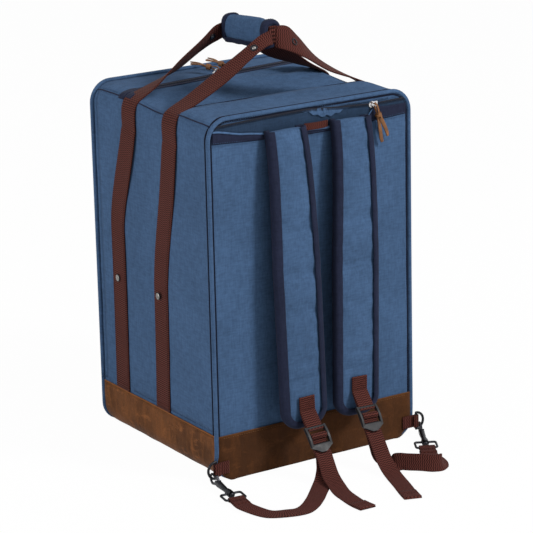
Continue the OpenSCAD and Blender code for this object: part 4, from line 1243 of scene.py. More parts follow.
def leg_path(side, out):
    """Route of one handle leg from the suede to the grip, and the directions of its width."""
    top_y = leg_y(side, out, TOP)
    lift_off = TOP - 46
    path, across = [], []
    for z in spread(SUEDE_TOP + 0.5, lift_off, 50)[:-1]:
        path.append(leg_point(side, out, z, LEG_OFF + LEG_SLACK * hump(LEG_SLACK_Z, 46, z)))
        lean = (leg_y(side, out, z + 4) - leg_y(side, out, z - 4)) / 8
        across.append(Vector((0, 1, -0.7 * lean)))
    route = [leg_point(side, out, lift_off, 1.4), leg_point(side, out, TOP - 28, 2.2)]
    for angle, off in ((26, 3.4), (48, 3.2)):
        t = math.radians(angle)
        r = TOP_R + off
        route.append(Vector((side * (HALF - TOP_R + r * math.cos(t)), top_y, TOP - TOP_R + r * math.sin(t))))
    face_y = GRIP_Y + out * GRIP_L / 2
    start = Vector((side * (HALF - 16), top_y, TOP - 3))
    end = Vector((side * (GRIP_W / 2 + 4), face_y + out * 4, GRIP_Z - 8 - out * 3))
    tuck = Vector((side * 4, face_y + out * 2.0, GRIP_Z - 4 - out * 3))
    deep = Vector((side * 3, face_y - out * 14, GRIP_Z - 3 - out * 2))
    slack = Vector((0, 0, -5.0 if (side, out) == (1, -1) else -1.5))
    route += [start.lerp(end, 0.16), start.lerp(end, 0.5) + slack, start.lerp(end, 0.8), end, tuck, deep]
    sides = [(0, 1, 0.1)] * 2 + [(0, 1, 0)] * 2 + LEG_TURNS[side, out] + [(0.2 * side, 0, -0.55 * out)]
    return path + smooth_path(route, 9), across + smooth_path(sides, 9)


def blend_leg(obj, side, out, slot, *nodes):
    """Bakes a piece of a leg's place into its mesh and hides the CAD nodes that it stands for."""
    y = leg_y(side, out, TOP)
    side * 0.150
    y * MM
    side * 0.030
    y * MM
    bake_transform(obj)
    if nodes:
        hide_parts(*nodes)


def grip_snap(name, side, out, path, across, *nodes):
    """Snap on a leg just below the grip: a dark rim on each face and a small cap."""
    i, run = len(path) - 1, 0.0
    while run < (46.0 if out < 0 else 40.0):
        run += (path[i] - path[i - 1]).length
        i -= 1
    along = heading(path, i)
    face = square_to(across[i], along).cross(along).normalized()
    face *= math.copysign(1, face.dot(Vector((-1, 0, 0.6 * side))))
    wide = along.cross(face)

    def ring(rise, r, count):
        middle = path[i] + face * rise
        return [middle + (along * math.cos(a) + wide * math.sin(a)) * r for a in turn_angles(count)]

    verts, faces = [], []
    for turn in (1, -1):
        sweep(verts, faces, cord_rings(ring(turn * (WEB_T / 2 + 0.3), 4.3, 26), 1.1, face, 8), closed=True)
    blend_leg(add_object(f"grip_snap_rims_{name}", verts, faces, "black_metal"), side, out, "black_metal")
    foot = WEB_T / 2 - 0.2
    dome = [ring(foot + h, r, 24) for r, h in ((3.0, -0.6), (3.0, 0.5), (2.5, 1.2), (1.4, 1.6), (0.3, 1.7))]
    blend_leg(swept(f"grip_snap_cap_{name}", dome, "old_silver"), side, out, "nickel", *nodes)


def build_handle():
    """The four webbing legs with their snaps, and the thread that sews them down."""
    verts, faces = [], []
    for end, out in (("rear", -1), ("front", 1)):
        for side, hand in ((-1, "left"), (1, "right")):
            path, across = leg_path(side, out)
            first = (side, out) == (-1, -1)
            nodes = (["handle_webs"] if first else []) + ([f"handle_loop_{hand}"] if out < 0 else [])
            leg = strap_piece(f"handle_leg_{end}_{hand}", path, across, HANDLE_W - 2, WEB_T, "webbing")
            blend_leg(leg, side, out, "webbing", *nodes)
            grip_snap(f"{end}_{hand}", side, out, path, across, *(["grip_rivets"] if first else []))
            # sewn down across the webbing above the suede and below the corner, and along both edges
            for z in TACKS:
                row = [leg_point(side, out, z, TACK_OFF, d) for d in range(-15, 16, 3)]
                stitch_row(verts, faces, row, (side, 0, 0), *TACK_SEAM)
            for d in (-15, 15):
                row = [leg_point(side, out, z, TACK_OFF, d) for z in spread(TACKS[0], 374, 49)]
                stitch_row(verts, faces, row, (side, 0, 0), *EDGE_SEAM)
    settle_piece(add_object("handle_stitches", verts, faces, "maroon_thread"), "bag", "webbing")


def grip_section(angle, grow=0.0, flare=0.0):
    """Across and up of the grip's section at an angle, a drop shape pinched at its lower left."""
    c, s = math.cos(angle), math.sin(angle)
    n = 2.7
    r = (abs(c / (GRIP_W / 2 + grow)) ** n + abs(s / (GRIP_H / 2 + grow)) ** n) ** (-1 / n)
    r *= 1 + hump(math.radians(235), 0.34, angle % (2 * math.pi)) * (0.07 + flare)
    return r * c, r * s


def grip_ring(grow, flare, along, share=1.0):
    """The grip's section at a place along it."""
    ring = []
    for a in turn_angles(GRIP_AROUND):
        x, up = grip_section(a, grow, flare)
        ring.append(grip_point(x * share, up * share, along))
    return ring


def puff_up(obj, pins):
    """Blows the closed mesh up like a stuffed cloth. pins stay in place and no point moves past the limit."""
    sizes = bpy.context.scene.carry_bag_sizes
    if sizes.puff <= 0:
        return
    rest = [v.co.copy() for v in obj.data.vertices]
    group = obj.vertex_groups.new(name="pins")
    group.add(pins, 1.0, "REPLACE")
    cloth = obj.modifiers.new("stuffing", "CLOTH")
    s = cloth.settings
    s.quality = 6
    s.mass = 0.3
    s.tension_stiffness = 22
    s.compression_stiffness = 22
    s.shear_stiffness = 12
    s.bending_stiffness = 1.2
    s.use_pressure = True
    s.uniform_pressure_force = sizes.puff
    s.shrink_min = -0.015
    s.vertex_group_mass = "pins"
    s.pin_stiffness = 1.0
    s.effector_weights.gravity = 0
    cloth.collision_settings.use_collision = False
    cloth.point_cache.frame_start = 1
    cloth.point_cache.frame_end = PUFF_FRAMES
    scene = bpy.context.scene
    for f in range(1, PUFF_FRAMES + 1):
        scene.frame_set(f)
    bake_modifiers(obj)
    obj.vertex_groups.clear()
    scene.frame_set(1)
    for v, r in zip(obj.data.vertices, rest):
        move = v.co - r
        if move.length > sizes.puff_cap:
            v.co = r + move * (sizes.puff_cap / move.length)


def grip_padding():
    """The padded wrap, a thick sleeve whose ends stay in place while it is stuffed."""
    outer, inner = [], []
    for t in spread(0, 1, 26):
        along = (t - 0.5) * (GRIP_L - 2)
        flare = REAR_FLARE * ease(0.86, 1.0, t) + FRONT_FLARE * ease(0.14, 0.0, t)
        outer.append(grip_ring(-3.2 + 1.6 * math.sin(math.pi * t) ** 0.6, flare, along))
        inner.append(grip_ring(-7.6, flare, along, 0.94))
    grip = swept("grip_padding", outer + inner[::-1], "denim", closed=True)
    middle = grip_point(0, 0, 0)
    way = middle - grip_point(0, 0, 1)
    pins = [v.index for v in grip.data.vertices if abs((v.co / MM - middle).dot(way)) > GRIP_L / 2 - 6]
    puff_up(grip, pins)
    grip.data.shade_smooth()
    settle_piece(grip, "handle", "denim", "grip_wrap")


def grip_end(name, end, flare, *nodes):
    """The binding round one end of the grip, and its stitches."""
    profile = ((-1.4, 10.5), (-0.5, 9), (-0.7, 4), (-1.6, 0.6), (-3.6, -0.7), (-6.0, -0.4),
               (-7.8, 1.2), (-8.4, 4), (-8.0, 8), (-6.5, 9.0), (-3.5, 9.5))
    rings = []
    for a in turn_angles(GRIP_AROUND):
        fold = 0.5 * noise.noise(Vector((math.cos(a) * 2, math.sin(a) * 2, end * 3)))
        ring = []
        for grow, back in profile:
            x, up = grip_section(a, grow, flare)
            ring.append(grip_point(x + fold * 0.4, up, end * (GRIP_L / 2 - back + fold)))
        rings.append(ring)
    settle_piece(swept(f"grip_binding_{name}", rings, "navy", closed=True), "handle", "navy", *nodes)
    row, outs = [], []
    for a in spread(0, 2 * math.pi, 96):
        x, up = grip_section(a, -0.35, flare)
        row.append(grip_point(x, up, end * (GRIP_L / 2 - 8)))
        outs.append(grip_point(x, up, 0) - grip_point(0, 0, 0))
    stitches(f"grip_stitches_{name}", [(row, outs)], "navy_thread", "handle", "navy", *FINE_SEAM)


def build_grip():
    """The padded grip with its bindings, and the folded webbing inside it."""
    grip_padding()
    grip_end("rear", 1, REAR_FLARE, "grip_binding")
    grip_end("front", -1, FRONT_FLARE)
    # bound edge of the flap along the underside
    x, up = grip_section(math.radians(228), 0.2, 0.03)
    path = [grip_point(x, up - 0.3 * math.sin(k * 0.8), (k / 30 - 0.5) * (GRIP_L - 16)) for k in range(31)]
    edge = strap_piece("grip_flap_edge", path, Vector((0.55, 0, -0.83)), 8.5, 2.2, "navy", lift=0.5)
    settle_piece(edge, "handle", "navy")
    reach = GRIP_L / 2 + 2
    for k, off in enumerate((-4.4, -1.5, 1.5, 4.4)):
        path = [grip_point(off, -1, along) for along in spread(-reach, reach, 12)]
        layer = strap_piece(f"grip_core_{k}", path, UP, 24, 2.4, "webbing")
        settle_piece(layer, "handle", "webbing")


# ---------- shoulder pads ----------

PAD_IN_Y = BACK - 0.3
PAD_L = 412.0
PAD_T = 15.0
PAD_TOP_W = 62.0
PAD_FOOT_W = 72.0
PAD_TOP_Z = 477.0
PAD_ROUND = PAD_FOOT_W * 0.36
PAD_SEAM = PAD_L - 74
PAD_ACROSS = 17
PADS = {"left": (-46.0, math.radians(0.8), PAD_L - 5), "right": (59.0, math.radians(-2.0), PAD_L - 16)}
BUCKLE_TILT = math.radians(38)
BUCKLE_L = 25.0
BAR_R = 2.0
BUCKLE_OUT = 17.0
WEB_W = 25.0
WOBBLE = {"left": 3.0, "right": 9.0}


def pad_off(s):
    """How far the pad stands off the back, a way down from its top."""
    return 12 * (1 - math.exp(-max(0.0, s) / 45)) + 13 * s / PAD_L


def pad_half(s):
    """Half the pad's width a way down from its top."""
    foot, r = PAD_FOOT_W / 2, PAD_ROUND
    if s < PAD_L * 0.45:
        return PAD_TOP_W / 2 + (foot - PAD_TOP_W / 2) * s / (PAD_L * 0.45)
    if s < PAD_L - r:
        return foot
    return foot - r + math.sqrt(max(0.0, r * r - (s - PAD_L + r) ** 2))


def on_pad(hand, x, y, down):
    """A point given across the pad, in depth, and down from its top, in the bag's frame."""
    at_x, lean, _ = PADS[hand]
    return Vector((at_x + x * math.cos(lean) + down * math.sin(lean), y,
                   PAD_TOP_Z + x * math.sin(lean) - down * math.cos(lean)))


def pad_face(hand, x, down, depth):
    """A point given across the pad, down from its top, and in depth from its inner side."""
    return on_pad(hand, x, PAD_IN_Y - pad_off(down) - depth, down)


def pad_rows():
    """Distances of the pad's rows from its top, closer together round its foot."""
    rows = spread(0, PAD_L * 0.86, 52)
    rows += [PAD_L - PAD_ROUND + PAD_ROUND * math.sin(a * math.pi / 2)
             for a in (0.08, 0.2, 0.32, 0.44, 0.56, 0.68, 0.8, 0.9, 0.97)]
    out = [0.0]
    for s in sorted(rows):
        if s - out[-1] > 0.8:
            out.append(s)
    return out


def pad_edge():
    """The pad's edge from its top left down, round its foot and up to its top right: across, and down."""
    r, foot = PAD_ROUND, PAD_FOOT_W / 2
    left = [(-pad_half(s), s) for s in spread(0, PAD_L * 0.86, 60) if s < PAD_L - r - 1]
    left += [(-(foot - r + r * math.cos(math.radians(a))), PAD_L - r + r * math.sin(math.radians(a)))
             for a in range(6, 91, 7)]
    return left + [(-x, s) for x, s in left[::-1]]


def edge_inward(edge, i):
    """Direction into the pad at a point of its edge."""
    a, b = edge[max(i - 1, 0)], edge[min(i + 1, len(edge) - 1)]
    d = Vector((b[0] - a[0], b[1] - a[1])).normalized()
    return Vector((d.y, -d.x))


def pad_cushion(hand):
    """The stuffed pad, held down along its edges and its cross seam."""
    rows = pad_rows()
    rings = []
    for s in rows:
        s = min(s, PAD_L - 3)
        half = max(8.0, pad_half(min(PAD_L, s + 2.5)) - 3)
        quilt = 1 - 0.16 * hump(PAD_SEAM, 3.5, s)
        front, back = [], []
        for t in spread(-1, 1, PAD_ACROSS - 1):
            u = math.sin(t * math.pi / 2)
            bulge = 2.9 + 3.0 * math.sqrt(max(0.0, 1 - u * u))
            front.append(pad_face(hand, u * half, s, PAD_T / 2 + bulge * quilt))
            back.append(pad_face(hand, u * half, s, PAD_T / 2 - bulge))
        rings.append(front + back[::-1])
    pad = swept(f"pad_cushion_{hand}", rings, "denim")
    n = 2 * PAD_ACROSS
    seam = min(range(len(rows)), key=lambda i: abs(rows[i] - PAD_SEAM))
    pins = {i * n + j for i in range(len(rows)) for j in (0, PAD_ACROSS - 1, PAD_ACROSS, n - 1)}
    pins.update(i * n + j for i in (0, seam, len(rows) - 1) for j in range(n))
    puff_up(pad, sorted(p for p in pins if p < len(pad.data.vertices)))
    even = pad.modifiers.new("even", "SUBSURF")
    even.levels = even.render_levels = 1
    bake_modifiers(pad)
    for v in pad.data.vertices:
        v.co = v.co + Vector((0, -1, 0)) * ripple(v.co / MM, 0.35, 16.0) * MM
    pad.data.shade_smooth()
    settle_piece(pad, f"pad_{hand}", "denim", f"pad_{hand}")


def pad_binding(hand):
    """The binding folded over the pad's edge, with a row of stitches on each face."""
    outer = [(10.5, 6.9), (9.8, 7.7), (6.0, 7.6), (2.2, 6.7), (0.2, 4.4), (-0.6, 0.0)]
    inner = [(9.5, -5.4), (4.5, -4.6), (2.6, 0.0), (4.5, 4.6), (9.5, 5.4)]
    profile = outer + [(q, -depth) for q, depth in outer[-2::-1]] + inner
    edge = pad_edge()
    rings, cloth = [], []
    run = 0.0
    for i, (x, s) in enumerate(edge):
        inward = edge_inward(edge, i)
        if i:
            run += math.hypot(x - edge[i - 1][0], s - edge[i - 1][1])
        wave = 0.5 * noise.noise(Vector((run / 18, WOBBLE[hand], 0)))
        rings.append([pad_face(hand, x + inward.x * (q + wave), s + inward.y * (q + wave),
                               PAD_T / 2 + depth + wave * 0.3) for q, depth in profile])
        cloth += [(q * MM, run * MM, 0) for q, _ in profile]
    bind = swept(f"pad_edge_{hand}", rings, "navy", cloth=cloth)
    settle_piece(bind, f"pad_{hand}", "navy", f"pad_binding_{hand}")
    rows = []
    for depth, way in ((7.75, -1), (-7.75, 1)):
        inner = [(x, s, edge_inward(edge, i) * 8.6) for i, (x, s) in enumerate(edge)]
        rows.append(([pad_face(hand, x + d.x, s + d.y, PAD_T / 2 + depth) for x, s, d in inner], (0, way, 0)))
    stitches(f"pad_edge_stitches_{hand}", rows, "navy_thread", f"pad_{hand}", "navy", seam_pitch(), 2.4, 0.28)


def build_pads():
    """Both shoulder pads with their bindings and the seam above the anchor webbing."""
    for hand in PADS:
        pad_cushion(hand)
        pad_binding(hand)
        rows = [([pad_face(hand, x, PAD_SEAM + off, PAD_T + 0.2) for x in spread(-24, 24, 24)], (0, -1, 0))
                for off in (0, 3)]
        stitches(f"pad_cross_stitches_{hand}", rows, "blue_thread", f"pad_{hand}", "denim", *FINE_SEAM)


# ---------- shoulder webbing ----------

def buckle_y(s):
    """Depth of a buckle's top bar."""
    return PAD_IN_Y - pad_off(s) - PAD_T - BUCKLE_OUT


def on_buckle(hand, x, y, z):
    """A point given in a buckle's own place, its top bar at the origin and its tab down -Z."""
    s = PADS[hand][2]
    c, n = math.cos(BUCKLE_TILT), math.sin(BUCKLE_TILT)
    return on_pad(hand, x, y * c + z * n + buckle_y(s), s + y * n - z * c)


TAIL_Y = BAR_R + WEB_T / 2 + 0.3
LOAD_Y = TAIL_Y + WEB_T + 0.3
WEB_OUT_Z = -BUCKLE_L - 3
MID_BAR = (-1.0, -BUCKLE_L / 2)
# where the webbing lies on the ground: across, behind the bag's back, and height
TAIL_ROUTES = {
    "left": [(-40.5, -85, 28), (-42.5, -97, 14), (-46, -117, 5.6), (-51, -140, 1.8), (-54, -170, 1.4),
             (-55, -202, 1.4)],
    "right": [(44.3, -86, 37), (44.8, -97, 20), (43.5, -113, 8), (38, -138, 2), (26, -174, 1.4),
              (14, -208, 1.4)],
}
LOWER_ROUTES = {
    "left": [(-41, -80, 27), (-45, -86, 14), (-56, -96, 4), (-74, -114, 1.6), (-92, -133, 1.4),
             (-110, -148, 1.4), (-129, -157, 1.4), (-147, -157, 1.4), (-162, -149, 1.4), (-173, -134, 1.4)],
    "right": [(44.5, -82, 34), (47, -88, 19), (55, -96, 7), (68, -109, 2), (82, -126, 1.4), (97, -139, 1.4),
              (113, -139, 1.4), (122, -122, 1.4)],
}
HOOK_DIP = math.radians(4)
HOOKS = {"left": (-1, math.radians(-6)), "right": (1, math.radians(-28))}
HOOK_L = 60 + 11 + 1.7
WEB_END_L = HOOK_L + 16
RING_X = HALF + 7
RING_Y = BACK - PIPE_R - 0.3 - WEB_T
RING_R = 12.0
RING_Z = 9 + RING_R
HOOK_OUT = 6.0


def hook_way(turn):
    """Direction of a hook from its ring."""
    c = math.cos(HOOK_DIP)
    return Vector((math.sin(turn) * c, -math.cos(turn) * c, -math.sin(HOOK_DIP)))


def hook_origin(side):
    """Where a hook hangs in its ring."""
    return Vector((side * (RING_X + HOOK_OUT), RING_Y, RING_Z - math.sqrt(RING_R ** 2 - HOOK_OUT ** 2)))


def web_sides(points, lean, first, fold=-1):
    """Directions of the webbing's width: the pad's for the first points, then level, and narrower at fold."""
    out = [Vector((-math.cos(lean), 0, -math.sin(lean)))] * first
    for i in range(first, len(points)):
        d = points[min(i + 1, len(points) - 1)] - points[i - 1]
        out.append(Vector((d.y, -d.x, 0)).normalized() * (0.75 if i == fold else 1.0))
    return out


def pad_anchor(hand, s):
    """Webbing sewn to the pad, led round the buckle's top bar, and its crossed box of stitches."""
    top, low = s - 40, s - 20
    bar_y = buckle_y(s)
    round_bar = 3.3
    path = [pad_face(hand, 0, down, PAD_T + 1.4) for down in spread(top, low, 10)]
    path += [on_pad(hand, 0, path[10].y * (1 - t) + (bar_y - round_bar) * t, low + 23 * t)
             for t in (0.25, 0.5, 0.75, 0.95)]
    for a in range(0, 200, 20):
        t = math.radians(a)
        path.append(on_pad(hand, 0, bar_y - round_bar * math.cos(t), s + round_bar * math.sin(t)))
    behind = pad_face(hand, 0, low, PAD_T).y - 0.2
    path += [on_pad(hand, 0, (bar_y + round_bar) * (1 - t) + behind * t, s - 20 * t) for t in (0.3, 0.6, 0.9)]
    wide = on_pad(hand, 1, 0, 0) - on_pad(hand, 0, 0, 0)
    web = strap_piece(f"pad_anchor_{hand}", path, wide, WEB_W, 1.9, "webbing")
    settle_piece(web, f"pad_{hand}", "webbing", f"pad_web_{hand}")
    h, high, foot = WEB_W / 2 - 3, top + 3, top + 18
    corners = [(-h, high), (h, high), (h, foot), (-h, foot), (-h, high)]
    rows = []
    for a, b in list(zip(corners, corners[1:])) + [((-h, high), (h, foot)), ((h, high), (-h, foot))]:
        line = zip(spread(a[0], b[0], 12), spread(a[1], b[1], 12))
        rows.append(([pad_face(hand, x, down, PAD_T + 2.4) for x, down in line], (0, -1, 0)))
    stitches(f"pad_anchor_stitches_{hand}", rows, "maroon_thread", f"pad_{hand}", "webbing", *BOX_SEAM)


def buckle_turn(hand):
    """Webbing led over the buckle's middle bar and out under its tab."""
    y, z = MID_BAR
    route = [(LOAD_Y, WEB_OUT_Z - 0.4), (LOAD_Y, z - 5)]
    route += [(y + TAIL_Y * math.cos(math.radians(a)), z + TAIL_Y * math.sin(math.radians(a)))
              for a in range(50, 301, 10)]
    route += [(TAIL_Y, -BUCKLE_L + 5), (TAIL_Y, WEB_OUT_Z - 0.4)]
    wide = on_buckle(hand, 1, 0, 0) - on_buckle(hand, 0, 0, 0)
    path = [on_buckle(hand, 0, y, z) for y, z in route]
    turn = strap_piece(f"buckle_turn_{hand}", path, wide, WEB_W, WEB_T - 0.1, "webbing")
    settle_piece(turn, f"buckle_{hand}", "webbing", f"buckle_web_{hand}")


def hem_row(p, along, wide, width, lift):
    """A row of thread across a strap, on its upper face."""
    wide = square_to(wide, along)
    up = along.cross(wide)
    if up.z < 0 or (abs(up.z) < 0.2 and up.y > 0):
        up = -up
    return [p + wide * x + up * lift for x in spread(-width / 2, width / 2, 8)], up


def web_tail(hand, lean):
    """The free tail below the buckle, with its folded and sewn end."""
    start = [on_buckle(hand, 0, TAIL_Y, WEB_OUT_Z - z) for z in (0.3, 10)]
    points = start + [Vector((x, y + BACK, z)) for x, y, z in TAIL_ROUTES[hand]]
    path = smooth_path(points, 9)
    across = smooth_path(web_sides(points, lean, 3), 9)
    for i, p in enumerate(path):
        p.z += ease(0.5, 1.0, i / len(path)) * (0.7 + 0.7 * math.sin(i * 0.37 + WOBBLE[hand]))
    tail = strap_piece(f"web_tail_{hand}", path, across, WEB_W, WEB_T, "webbing")
    settle_piece(tail, f"pad_{hand}", "webbing", f"tail_{hand}")
    fold = [p + Vector((0, 0, 1.9)) for p in path[-8:]]
    hem = strap_piece(f"tail_hem_{hand}", fold, [a * 0.97 for a in across[-8:]], WEB_W, 1.7, "webbing")
    settle_piece(hem, f"pad_{hand}", "webbing")
    rows = [hem_row(fold[i], heading(fold, i), across[i - 8], WEB_W - 5, 0.95) for i in (2, 3)]
    stitches(f"tail_stitches_{hand}", rows, "maroon_thread", f"pad_{hand}", "webbing", *HEM_SEAM)


def lower_strap(hand, lean):
    """Loaded webbing from the buckle to the hook."""
    side, way = HOOKS[hand]
    start = [on_buckle(hand, 0, LOAD_Y, WEB_OUT_Z - z) for z in (0.3, 10)]
    end = [hook_origin(side) + hook_way(way) * (WEB_END_L + reach) for reach in (14, -4)]
    points = start + [Vector((x, y + BACK, z)) for x, y, z in LOWER_ROUTES[hand]] + end
    path = smooth_path(points, 9)
    across = smooth_path(web_sides(points, lean, 4, 8 if hand == "right" else -1), 9)
    n = len(path)
    for i, p in enumerate(path):
        rest = ease(0.3, 0.6, i / n) * ease(1.0, 0.85, i / n)
        p.z += rest * (0.9 + 0.9 * math.sin(i * 0.21 + WOBBLE[hand]))
        if hand == "right":
            # the slack part stands on its edge
            stand = ease(0.32, 0.46, i / n) * ease(0.88, 0.66, i / n)
            across[i] = (across[i] * (1 - stand) - Vector((0, 0, stand))).normalized()
            p.z += stand * (WEB_W / 2 - 2)
    lower = strap_piece(f"lower_strap_{hand}", path, across, WEB_W, WEB_T, "webbing")
    foot = path[int(n * 0.42)]
    tuple(foot * MM)
    tuple(path[4] * MM)
    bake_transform(lower)
    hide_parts(f"lower_web_{hand}")


def web_end(hand):
    """The webbing's end folded round the swivel loop and sewn."""
    side, way = HOOKS[hand]
    along = hook_way(way)
    bar = hook_origin(side) + along * HOOK_L
    wide = Vector((math.cos(way), math.sin(way), 0))
    up = wide.cross(along)
    if up.z < 0:
        up = -up
    loop = [bar + along * (20 - 2 * k) + up * (1.5 if k > 6 else 1.3) for k in range(9)]
    loop += [bar - along * (2.7 * math.sin(math.radians(a))) + up * (2.7 * math.cos(math.radians(a)))
             for a in range(20, 180, 20)]
    loop += [bar + along * reach - up * 1.3 for reach in range(4, 20, 2)]
    for p in loop:
        p.z = max(p.z, 1.1)
    end = strap_piece(f"web_end_{hand}", loop, wide, WEB_W - 2.4, 1.7, "webbing")
    settle_piece(end, "bag", "webbing", *(["web_ends"] if hand == "left" else []))
    rows = [([bar + along * d + wide * x + up * 2.35 for x in spread(-10, 10, 8)], up) for d in (8, 11, 18)]
    stitches(f"web_end_stitches_{hand}", rows, "maroon_thread", "bag", "webbing", *BOX_SEAM)


def ring_tab(hand):
    """Webbing tab folded round a ring's straight bar."""
    side = HOOKS[hand][0]
    x, root = side * RING_X, side * (HALF - 15)
    round_bar = 2.95
    path = [Vector((root + (x - root) * t, RING_Y + WEB_T / 2 + 0.5 * (1 - t), RING_Z))
            for t in spread(0, 1, 10)[:-1]]
    path += [Vector((x + side * round_bar * math.sin(t), RING_Y + round_bar * math.cos(t), RING_Z))
             for t in spread(0, math.pi, 9)]
    path += [Vector((x + (root - x) * t / 2, RING_Y - 2.9 + 0.6 * t, RING_Z)) for t in spread(0, 0.5, 5)[1:]]
    tab = strap_piece(f"ring_tab_{hand}", path, UP, 2 * RING_R - 5.6, 1.5, "webbing")
    settle_piece(tab, "bag", "webbing", *(["ring_tabs"] if hand == "left" else []))


def build_shoulder_webs():
    """On each side: anchor webbing, the turn in the buckle, the tail, the lower strap and its end."""
    for hand, (_, lean, s) in PADS.items():
        pad_anchor(hand, s)
        buckle_turn(hand)
        web_tail(hand, lean)
        lower_strap(hand, lean)
        web_end(hand)
        ring_tab(hand)


# ---------- leather pulls ----------

def lace_place(eye, yaw, rise):
    """The place of a lace whose own X runs along it, turned by yaw and lifted by rise."""
    turn = Matrix.Rotation(yaw, 4, "Z") @ Matrix.Rotation(-rise, 4, "Y")
    return lambda p: eye + turn @ Vector(p)


def lace_piece(name, world, points, sides, width, thick):
    """One length of lace, given in the lace's own place."""
    path = smooth_path([world(p) for p in points], 7)
    zero = world((0, 0, 0))
    across = smooth_path([world(s) - zero for s in sides], 7)
    return strap_piece(name, path, across, width, thick, "lace", lift=0.25)


def build_pull(name, world, length, body, node, width=5.0):
    """The loop through the eye, the knot and the two ends of one pull, joined in one object."""
    k = length * 0.3
    loop = [(k - 1, 0.9, 1.2), (k * 0.55, 1.0, 2.0), (1.8, 0.6, 2.9), (-1.6, 0, 2.2), (-3.0, 0, -0.2),
            (-1.4, 0, -2.4), (2.0, -0.5, -2.6), (k * 0.55, -0.9, -1.4), (k - 1, -0.9, -1.0)]
    parts = [lace_piece(name, world, loop, [(0, 1, 0)] * len(loop), width * 0.5, 1.5)]
    wrap, sides = [], []
    for t in spread(0, 1, 16):
        a = 2 * math.pi * 1.35 * t - 0.6
        wrap.append((k + 3.6 * (t - 0.5), 3.5 * math.cos(a), 3.1 * math.sin(a)))
        sides.append((0.96, 0.22 * math.sin(a), -0.22 * math.cos(a)))
    parts.append(lace_piece(f"{name}_wrap", world, wrap, sides, width * 0.82, 1.8))
    knot = [(k + 3.3 * math.cos(a), 2.08 * math.sin(a), 1.9 * math.cos(a * 2) + 2.0 * math.sin(a))
            for a in spread(0, 2 * math.pi, 12)]
    parts.append(lace_piece(f"{name}_knot", world, knot, [(0.3, 0.3, 0.9)] * len(knot), width * 0.6, 2.0))
    for way, cut in ((1, 4.0), (-1, 0.0)):
        reach = length - k - cut
        tail = [(k - 1, 0, 0), (k + reach * 0.2, way * 1.8, way * 0.8),
                (k + reach * 0.55, way * reach * 0.12, 0.4), (k + reach * 0.85, way * reach * 0.16, -0.4),
                (k + reach, way * reach * 0.15, -0.9)]
        sides = [(0, 1, way * 0.2), (0, 1, way * 0.25), (0, 1, 0.1), (0, 1, way * -0.15),
                 (0, 0.75, way * -0.2)]
        parts.append(lace_piece(f"{name}_end", world, tail, sides, width, 1.7))
    bpy.ops.object.select_all(action="DESELECT")
    for part in parts:
        part.select_set(True)
    bpy.context.view_layer.objects.active = parts[0]
    bpy.ops.object.join()
    settle_piece(parts[0], body, "lace", node)


def build_pulls():
    """The knotted pulls on the two main sliders and on the pocket's slider."""
    eye_over = 3.4 + 5.2
    for hand, x, yaw in (("left", 4.0, 126), ("right", 24.0, 106)):
        eye = Vector((x, zip_y(x), TOP + 1.7 + eye_over))
        world = lace_place(eye, math.radians(yaw), math.radians(10))
        build_pull(f"leather_pull_{hand}", world, 42, f"pull_{hand}", f"main_pull_{hand}")
    eye = Vector((101.0, BACK + 0.7 - eye_over, 478 + 16 * 0.66))
    lean = math.radians(18)
    # this lace hangs down and out to the side, with its flat face to the back
    down = Vector((math.sin(lean), 0, -math.cos(lean)))
    wide = Vector((math.cos(lean), 0, math.sin(lean)))
    build_pull("leather_pull_pocket", lambda p: eye + down * p[0] + wide * p[1] - Vector((0, p[2], 0)), 54,
               "pocket_pull", "pocket_pull", 5.5)


# ---------- hardware ----------

RIVET_Z = 230.0
HARDWARE = {
    "black_plastic": ["buckle_left", "buckle_right"],
    "black_metal": ["d_ring_left", "d_ring_right", "snap_hook_left", "snap_hook_right", "snap_gate_left",
                    "snap_gate_right", "swivel_loop_left", "swivel_loop_right"],
    "nickel": ["main_slider_left", "main_slider_right", "pocket_slider"],
    "old_silver": ["side_rivets"],
    "board": ["base_board"],
}


def build_hardware():
    """Finishes of the hard parts, and a dark ring round each side rivet."""
    for finish, names in HARDWARE.items():
        for name in names:
            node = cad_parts[name]
            node.data.materials.clear()
            node.data.materials.append(FINISHES[finish])
    verts, faces = [], []
    for side in (-1, 1):
        for out in (-1, 1):
            c = Vector((side * (HALF + WEB_T + 0.15), leg_y(side, out, RIVET_Z) + 2, RIVET_Z))
            ring = [c + Vector((0, math.cos(a) * 4.7, math.sin(a) * 4.7)) for a in turn_angles(28)]
            sweep(verts, faces, cord_rings(ring, 0.7, (side, 0, 0), 7), closed=True)
    settle_piece(add_object("rivet_rims", verts, faces, "black_metal"), "bag", "black_metal")


# ---------- stage ----------

VIEW_YAW = math.radians(32.60)
VIEW_PITCH = math.radians(16.23)
VIEW_ROLL = math.radians(-1.34)
VIEW_FAR = 3.661
FLOOR_Z = -0.0004


def seen_rays(r):
    """1 for the rays that look at the backdrop, straight or in metal, and 0 for those that light the bag."""
    camera, glossy, through = (r.node("ShaderNodeLightPath", None, None, f"Is {kind} Ray")
                               for kind in ("Camera", "Glossy", "Transmission"))
    return (camera + glossy + through).clipped()


def pale_floor(colour, veil):
    """A plain floor that looks nearly white and keeps a faint shadow."""
    r = Recipe("pale_floor")
    ground = r.node("ShaderNodeBsdfDiffuse", None, {"Color": tint(colour)})
    white = r.node("ShaderNodeEmission", None, {"Strength": 1.0})
    return r.show(r.node("ShaderNodeMixShader", None, {0: seen_rays(r) * veil, 1: ground, 2: white}))


